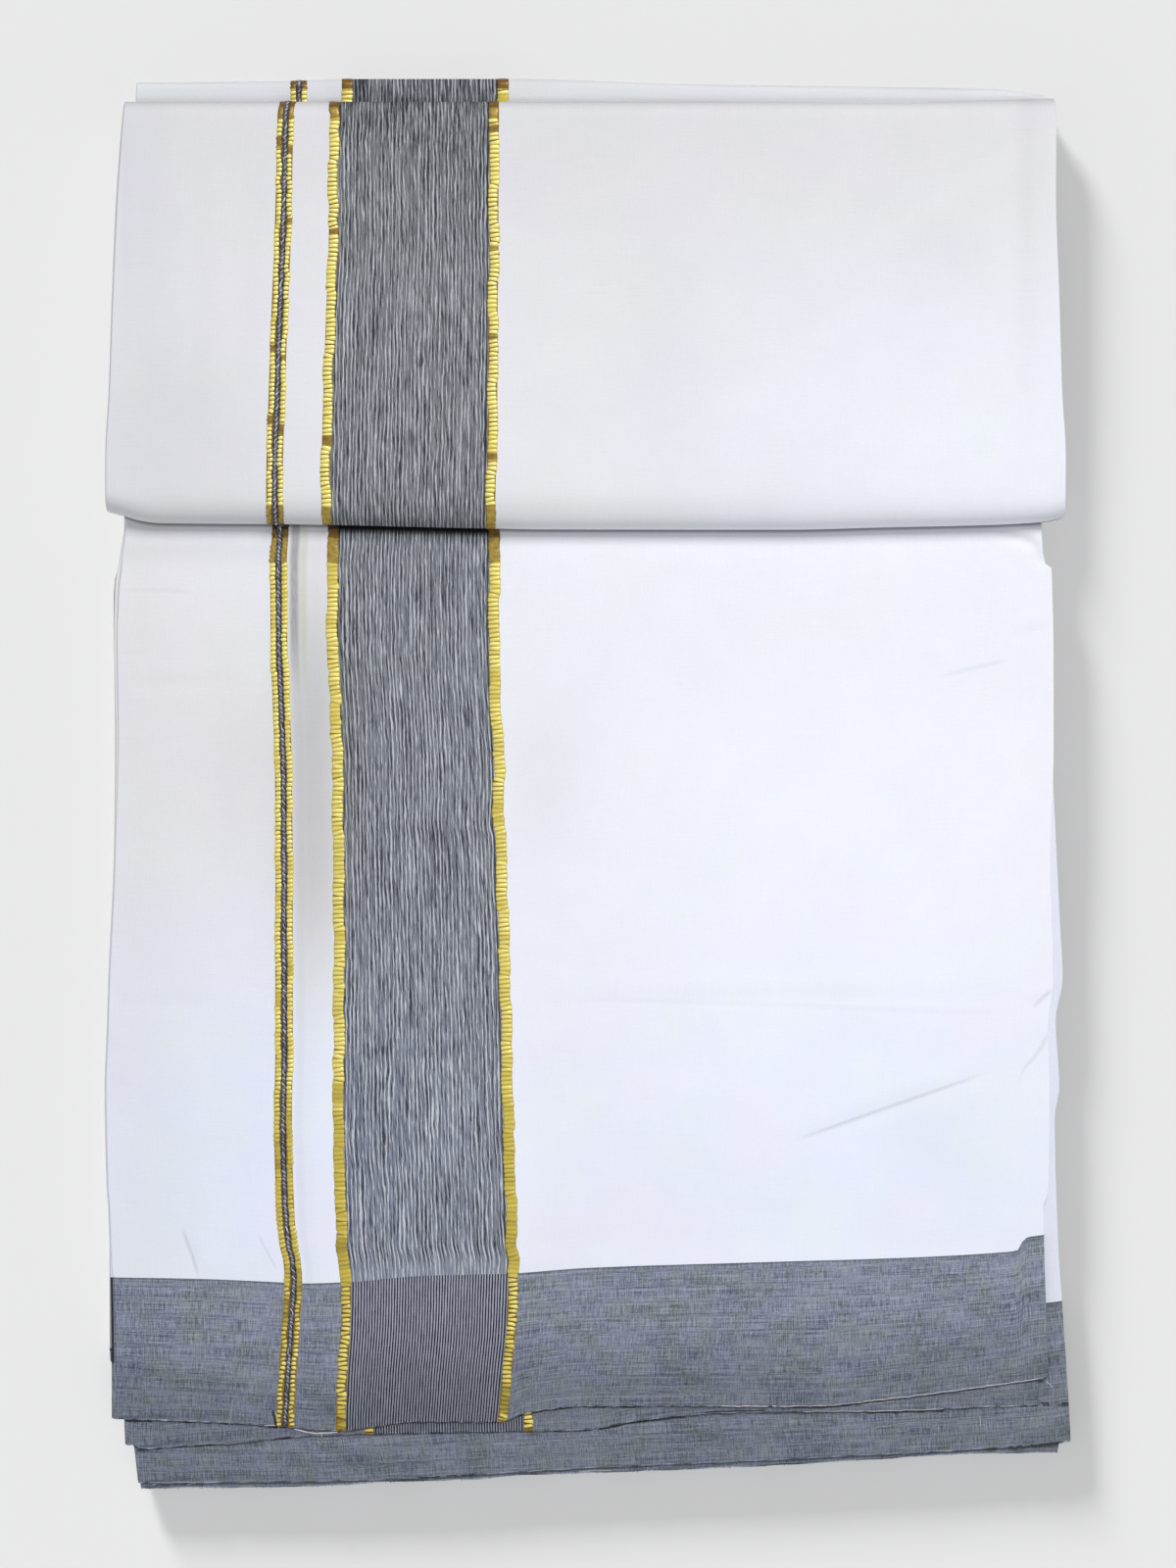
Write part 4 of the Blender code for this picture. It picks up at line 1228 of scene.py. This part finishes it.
def zari_tape(leaf, place, share, seed):
    """One ribbed gold tape down a leaf."""
    ring_step = RIB / len(RIB_SHAPE)
    line = track_down(leaf.strip, place, leaf.first, leaf.last, ring_step)
    rings = np.arange(len(line.centre))
    run_on, y = ring_step * rings, line.centre[:, 1]
    chance = np.random.default_rng(seed)
    lone = chance.uniform(-1, 1, (3, len(rings)))[:, rings // len(RIB_SHAPE)]
    worn = np.clip((WORN_BELOW - y) / 25.0, 0, 1) * (line.along < 200.0)
    in_band = np.clip((BAND - line.along) / 2.0, 0, 1)
    contrast = leaf.contrast * (0.85 + 0.35 * wander(run_on, 47.0, seed)) * (1 + 0.3 * lone[0])
    contrast = contrast * (1 - 0.45 * worn * (1 - in_band)) + 0.35 * in_band
    pressed = np.clip(5 * (wander(run_on, 53.0, seed + 0.7) - 0.55 + 0.2 * worn), 0, 1)
    crushed = np.clip(8 * (wander(run_on, 17.0, seed) * wander(run_on, 71.0, 2.0) - 0.3), 0, 1)
    # folded: how far the gold is drawn darker, on the flap's crushed patches and, as painted shade, at
    # folds and beside the flap.
    folded = 0.75 * crushed * leaf.crushed
    for low, high, dark in leaf.folds:
        folded = np.maximum(folded, dark * (y > low) * (y < high))
    flat = np.maximum(pressed, folded > 0)
    shape = RIB_SHAPE[rings % len(RIB_SHAPE)]
    # A painted highlight on each rib's top and painted shade in its gap, weaker where the rib lies
    # flat.
    shine = 0.62 - 0.14 * worn - 0.1 * in_band + contrast * shape * (1 - 0.8 * flat)
    shine += 0.1 * lone[1] * (1 - folded) - 0.1 * pressed
    wide = share * (leaf.wide + (GOLD_WIDE_IN_BAND - leaf.wide) * in_band)
    wide = wide * (1 + (0.06 if share == 1.0 else 0.42) * shape + (0.06 + 0.05 * in_band) * lone[2])
    high = 0.10 + 0.26 * (shape + 0.5) * contrast * (1 - flat) + 0.08 * flat
    jog = np.clip(4 * wander(run_on, 31.0, seed + 0.3), -1, 1) * leaf.jog
    centre = line.centre.copy()
    centre[:, 0] += 0.12 * wander(run_on, 9.0, seed) + (0.07 + 0.07 * in_band) * lone[1] + jog
    return Tube(centre, line.up, wide, high, np.stack((shine, folded), axis=1))


def zari_finish():
    material, shader = new_material("gold_zari")
    start = Field(material.node_tree)
    shine = start.read("shine")
    folded = start.read("folded")
    place = start.node("ShaderNodeTexCoord", {}, {}, 3)
    speckle = start.node("ShaderNodeTexNoise", {}, {"Vector": place, "Scale": 1400.0, "Detail": 2.0})
    # Painted highlight and shade by the ribs, then the gold painted darker at folds, beside the flap
    # and on crushed patches, down to near-black where the front leaf goes under the flap.
    colour = shine.rise(0.05, 0.55).mix(ZARI_GAP_SHADE, ZARI_MIDDLE)
    colour = shine.rise(0.55, 1.0).mix(colour, ZARI_HIGHLIGHT)
    colour = folded.rise(0.0, 0.4).mix(colour, ZARI_FLATTENED_AND_SHADED)
    colour = folded.rise(0.4, 1.0).mix(colour, ZARI_CRUSHED_AND_SHADED)
    colour = folded.rise(1.0, 1.5).mix(colour, ZARI_SHADOW)
    scratch = start.node("ShaderNodeTexNoise", {}, {"Vector": place, "Scale": 700.0, "Detail": 3.0})
    colour = colour.times(0.85 + 0.3 * speckle + 1.3 * (scratch - 0.5) * folded.rise(0.0, 0.4))
    colour.feed(shader, "Base Color")
    (0.6 - 0.25 * shine).feed(shader, "Roughness")
    shader.inputs["Metallic"].default_value = 0.3
    return material


zari = zari_finish()
BROAD_TAPES = ((GOLD_LEFT, 1.0), (GOLD_RIGHT, 1.0))
ALL_TAPES = (
    (NARROW_PLACE - NARROW_GOLD_OFF, NARROW_GOLD_SHARE),
    (NARROW_PLACE + NARROW_GOLD_OFF, NARROW_GOLD_SHARE),
    *BROAD_TAPES,
)
# Stretches where the gold is laid flat and painted darker as shade, at folds and beside and under the
# flap: from low to high y, and how dark.
FlattenedAndShaded = namedtuple("FlattenedAndShaded", "low high dark")
Striped = namedtuple("Striped", "name strip places first last wide contrast jog crushed folds")
FRONT_FLATTENED_AND_SHADED = table(FlattenedAndShaded, (74, 150, 0.5), (82.5, 150, 0.9), (85.2, 150, 1.5))
BACK_FOLD_FLATTENED_AND_SHADED = table(FlattenedAndShaded, (232.6, 240, 0.95))
FLAP_FLATTENED_AND_SHADED = table(FlattenedAndShaded, (80, 92.6, 0.5), (222.3, 240, 0.65), (226, 240, 0.95))
striped_leaves = [
    Striped("second", second_strip, BROAD_TAPES, 380.0, 999.0, GOLD_WIDE, 0.9, 0.0, 0.0, []),
    Striped("front", front_strip, ALL_TAPES, 48.0, 999.0, GOLD_WIDE, 0.8, 0.22, 0.0, FRONT_FLATTENED_AND_SHADED),
    Striped("back_fold", back_strip, ALL_TAPES, 60.0, 95.0, GOLD_WIDE, 0.9, 0.0, 0.0, BACK_FOLD_FLATTENED_AND_SHADED),
    Striped("flap", flap_strip, ALL_TAPES, 136.0, 999.0, GOLD_WIDE_ON_FLAP, 1.3, 0.3, 1.0, FLAP_FLATTENED_AND_SHADED),
]
for leaf in striped_leaves:
    tapes = [
        zari_tape(leaf, place, share, seed + len(leaf.name))
        for seed, (place, share) in enumerate(leaf.places)
    ]
    make_tubes(leaf.name + "_gold_stripes", tapes, TAPE_SECTION, zari)


# The chain in the narrow stripe: a pale yarn and a dark one twisted about each other, between
# two dark yarns that edge the gold tapes.
TWIST = 1.7  # one turn of the two yarns
YARN_STEP = 0.3
YARN_SECTION = [(math.cos(math.pi * k / 2.5), math.sin(math.pi * k / 2.5)) for k in range(5)]
CHAIN_DARK = paint(30, 29, 35)
CHAIN_PALE = paint(214, 213, 221)
Yarn = namedtuple("Yarn", "off swing turn thick dim bright")
# The yarns' offsets, swings, turns and thicknesses, and their lightness under and over the twist, whose
# difference is painted light.
YARNS = table(
    Yarn, (-0.80, 0.06, 0, 0.25, 0.05, 0.26), (0, 0.34, 0, 0.29, 0.30, 1.00),
    (0, 0.34, 0.5, 0.29, 0.02, 0.42), (0.80, 0.06, 0.5, 0.25, 0.01, 0.20),
)


def yarn_finish():
    material, shader = new_material("chain_yarn")
    start = Field(material.node_tree)
    shine = start.read("shine")
    place = start.node("ShaderNodeTexCoord", {}, {}, 3)
    fuzz = start.node("ShaderNodeTexNoise", {}, {"Vector": place, "Scale": 1800.0, "Detail": 3.0})
    colour = shine.mix(CHAIN_DARK, CHAIN_PALE).times(0.75 + 0.5 * fuzz)
    colour.feed(shader, "Base Color")
    shader.inputs["Roughness"].default_value = 0.85
    return material


def chain_yarn(leaf, yarn):
    """One yarn of the chain down a leaf."""
    line = track_down(leaf.strip, NARROW_PLACE, leaf.first, leaf.last, YARN_STEP)
    run_on = YARN_STEP * np.arange(len(line.centre))
    turns = 2 * math.pi * (run_on / TWIST + yarn.turn + 0.7 * wander(run_on, 13.0, 0.4))
    centre = line.centre.copy()
    centre[:, 0] += yarn.off + yarn.swing * np.sin(turns) + 0.15 * wander(run_on, 7.0, yarn.off)
    centre += line.up * (0.10 + 0.8 * yarn.swing * np.cos(turns))[:, None]
    thick = np.clip(yarn.thick * (1 + 0.25 * wander(run_on, 5.0, yarn.off)), 0.08, 0.5)
    chance = np.random.default_rng(len(leaf.name)).uniform(0.3, 1.0, len(run_on))
    lone = chance[(run_on / TWIST).astype(int)]
    # Painted light: each yarn is paler where the twist brings it up and darker where it goes under.
    shine = yarn.dim + (yarn.bright - yarn.dim) * lone * np.clip(0.55 + 0.6 * np.cos(turns), 0, 1)
    return Tube(centre, line.up, thick, thick, np.stack((shine, 0 * shine), axis=1))


chain_finish = yarn_finish()
yarns = [chain_yarn(leaf, yarn) for leaf in striped_leaves[1:] for yarn in YARNS]
make_tubes("chain_yarns", yarns, YARN_SECTION, chain_finish)


# Loose yarns at the raw ends: single cotton yarns that came out of the weave and lie on it, and
# the cut ends of warp yarns that stand out past the hems as a short fringe. The darkest of the
# listed yarns are painted shadow: dark lines beside pale yarns and at the feet of the hems.
THREAD_STEP = 0.8
THREAD_SECTION = [(1.0, 0.0), (0.0, 1.0), (-1.0, 0.0), (0.0, -1.0)]
FRINGE_SPACING = 1.9
Thread = namedtuple("Thread", "x1 y1 x2 y2 bow thick shine")
HemThread = namedtuple("HemThread", "hem x1 x2 off thick shine")
# The yarns of lightness 0.1 and under are painted shadows beside pale yarns.
LOOSE_THREADS = table(
    Thread, (-98.4, -216, -83.4, -216.9, -0.9, 0.24, 1), (-89, -217.4, -89, -219.4, 0.2, 0.18, 0.95),
    (-91.7, -220.1, -88.7, -221.4, 0.3, 0.14, 0.8), (-110.4, -214.9, -103.8, -214.8, 0.2, 0.16, 0.9),
    (-104.5, -209.9, -103.2, -215.5, 0.3, 0.16, 0.95), (-105.3, -209.5, -104, -215.8, 0.2, 0.30, 0.02),
    (-118.6, -206, -119.9, -214.8, 0.3, 0.11, 0.7), (-125.8, -185, -122.5, -185.1, 0.2, 0.12, 0.8),
    (131.4, -211.6, 131.6, -215.5, 0.3, 0.14, 0.9), (152, -198.9, 156, -202.4, 0.4, 0.15, 0.9),
    (92, -216.8, 111.7, -213.5, 0.5, 0.11, 0.6), (94, -217.1, 94.3, -220.4, 0.1, 0.11, 0.7),
    (117.6, -214.8, 117.3, -217.5, 0.1, 0.11, 0.7), (-70, -221.4, -68, -227, 0.3, 0.11, 0.6),
    (-67.4, -222.4, -58.9, -222.4, 0.2, 0.10, 0.5), (-42.5, -222.4, -17.9, -222.6, 0.3, 0.10, 0.5),
    (11.6, -219.1, 33, -218.9, 0.2, 0.10, 0.5), (-106.8, -229, -106.6, -231.2, 0.1, 0.11, 0.7),
    (-146.1, -234.9, -140.9, -234.6, 0.5, 0.18, 0.75),
    (-144.8, -233.9, -140.2, -234.9, -0.4, 0.20, 0.10),
    (-134.3, -234.9, -129.4, -234.5, 0.5, 0.17, 0.75), (-131.4, -234, -128.4, -234.9, -0.3, 0.20, 0.10),
    (-3.1, -230.5, 8.4, -230, 0.3, 0.14, 0.75),
)
# The hem yarns of lightness 0.04 and under are painted shadow lines at the hems' feet.
HEM_THREADS = table(
    HemThread, (FRONT_HEM, 44.4, 71, 0.05, 0.17, 0.95), (FRONT_HEM, 70, 92.5, 0.15, 0.13, 0.85),
    (FRONT_HEM, 67, 92, -0.4, 0.20, 0.04), (SECOND_HEM, 72, 93, 0.3, 0.12, 0.70),
    (SECOND_HEM, 39, 60, 0.7, 0.18, 0.04), (FRONT_HEM, 92, 152, 0.25, 0.17, 0.90),
    (FRONT_HEM, 92, 103.5, -0.9, 0.12, 0.70), (FRONT_HEM, -21.2, 33, 3.2, 0.10, 0.60),
    (FRONT_HEM, 20.8, 24.8, -0.3, 0.16, 0.85), (FRONT_HEM, -155.3, -145, -0.5, 0.26, 0.03),
    (FRONT_HEM, -135.3, -131.4, -0.4, 0.20, 0.03), (FRONT_HEM, -121.9, -117.9, -0.4, 0.20, 0.03),
    (FRONT_HEM, -110.4, -103.5, -0.4, 0.20, 0.03), (FRONT_HEM, -23.1, -4.8, -0.3, 0.18, 0.03),
    (FRONT_HEM, 0, 6.7, -0.3, 0.18, 0.03), (FRONT_HEM, 10.7, 19.2, -0.3, 0.18, 0.03),
    (SECOND_HEM, -151, -142, -0.4, 0.22, 0.04), (SECOND_HEM, -140, -124, -0.4, 0.20, 0.04),
    (SECOND_HEM, -106, -98, -0.4, 0.20, 0.04), (SECOND_HEM, 4, 33, -0.3, 0.21, 0.03),
    (SECOND_HEM, 1.5, 4.1, -0.2, 0.16, 0.85), (SECOND_HEM, 93, 120, 0.2, 0.14, 0.80),
    (SECOND_HEM, 93, 120, -0.4, 0.22, 0.03), (SECOND_HEM, 134.6, 149.4, 0.1, 0.14, 0.85),
    (THIRD_HEM, -147, -128, 0.1, 0.12, 0.60), (THIRD_HEM, -57.2, -49, -0.3, 0.22, 0.04),
    (THIRD_HEM, -47.4, -37.6, -0.3, 0.22, 0.04), (THIRD_HEM, 128, 138, -0.3, 0.24, 0.04),
    (THIRD_HEM, 141, 160, -0.3, 0.26, 0.04),
)
leaves_below = [third_leaf, second_leaf, front_leaf, pile[0], pile[1]]
trees = [BVHTree.FromObject(piece, bpy.context.evaluated_depsgraph_get()) for piece in leaves_below]


def top_of_cloth(x, y):
    """The height of the cloth's uppermost surface at a place, in millimetres."""
    start_point = (x * MM, y * MM, 1.0)
    hits = [tree.ray_cast(start_point, (0.0, 0.0, -1.0))[0] for tree in trees]
    return max([hit.z / MM for hit in hits if hit] + [0.0])


def yarn_along(x, y, thick, shine, seed, droop=None):
    """A loose yarn through points given by x and y, lying on the cloth."""
    z = np.array([top_of_cloth(*place) for place in zip(x, y)])
    if droop is not None:
        z = z[0] - droop
    run_on = THREAD_STEP * np.arange(len(x))
    z = z + thick * (0.7 + 0.5 * wander(run_on, 7.0, seed))
    centre = np.stack((x, y + 0.15 * wander(run_on, 8.0, seed), z), axis=1)
    up = np.tile([0.0, 0.0, 1.0], (len(x), 1))
    size = thick * (1 + 0.25 * wander(run_on, 3.0, seed + 1.0))
    size[[0, -1]] *= 0.4
    values = np.stack((shine + 0 * x, 0 * x), axis=1)
    return Tube(centre, up, size, size, values)


threads = []
for seed, thread in enumerate(LOOSE_THREADS):
    count = max(4, round(math.hypot(thread.x2 - thread.x1, thread.y2 - thread.y1) / THREAD_STEP))
    share = np.linspace(0, 1, count)
    x = thread.x1 + share * (thread.x2 - thread.x1)
    y = thread.y1 + share * (thread.y2 - thread.y1) + thread.bow * np.sin(math.pi * share)
    threads.append(yarn_along(x, y, thread.thick, thread.shine, seed))
for seed, thread in enumerate(HEM_THREADS):
    x = np.arange(thread.x1, thread.x2, THREAD_STEP)
    y = follow(thread.hem, x) + thread.off
    threads.append(yarn_along(x, y, thread.thick, thread.shine, seed + 0.5))
make_tubes("loose_threads", threads, THREAD_SECTION, chain_finish)

fringe = []
chance = np.random.default_rng(7)
for hem, left, right in (
    (FRONT_HEM, -158.0, 154.0),
    (SECOND_HEM, -153.0, 149.5),
    (THIRD_HEM, -149.5, 161.0),
    (PILE_HEM, -149.5, 156.5),
):
    for place in np.arange(left, right, FRINGE_SPACING):
        place += chance.uniform(-1.0, 1.0)
        length, lean = chance.uniform(0.05, 0.45), chance.uniform(-0.4, 0.4)
        share = np.linspace(0, 1, 4)
        edge = float(follow(hem, place))
        x, y = place + lean * share**2, edge + 0.6 - (0.6 + length) * share
        fringe.append(yarn_along(x, y, 0.11, chance.uniform(0.1, 0.5), place, droop=0.2 + 0.3 * share))
    place = left + 4.0
    while hem is not PILE_HEM and place < right - 10.0:
        length, shine = chance.uniform(2.0, 8.0), chance.uniform(0.26, 0.44)
        x = np.arange(place, place + length, THREAD_STEP)
        y = follow(hem, x) - chance.uniform(0.15, 0.35)
        fringe.append(yarn_along(x, y, 0.19, shine, place, droop=0.12))
        place += length + chance.uniform(1.0, 9.0)
make_tubes("hem_fringe", fringe, THREAD_SECTION, chain_finish)
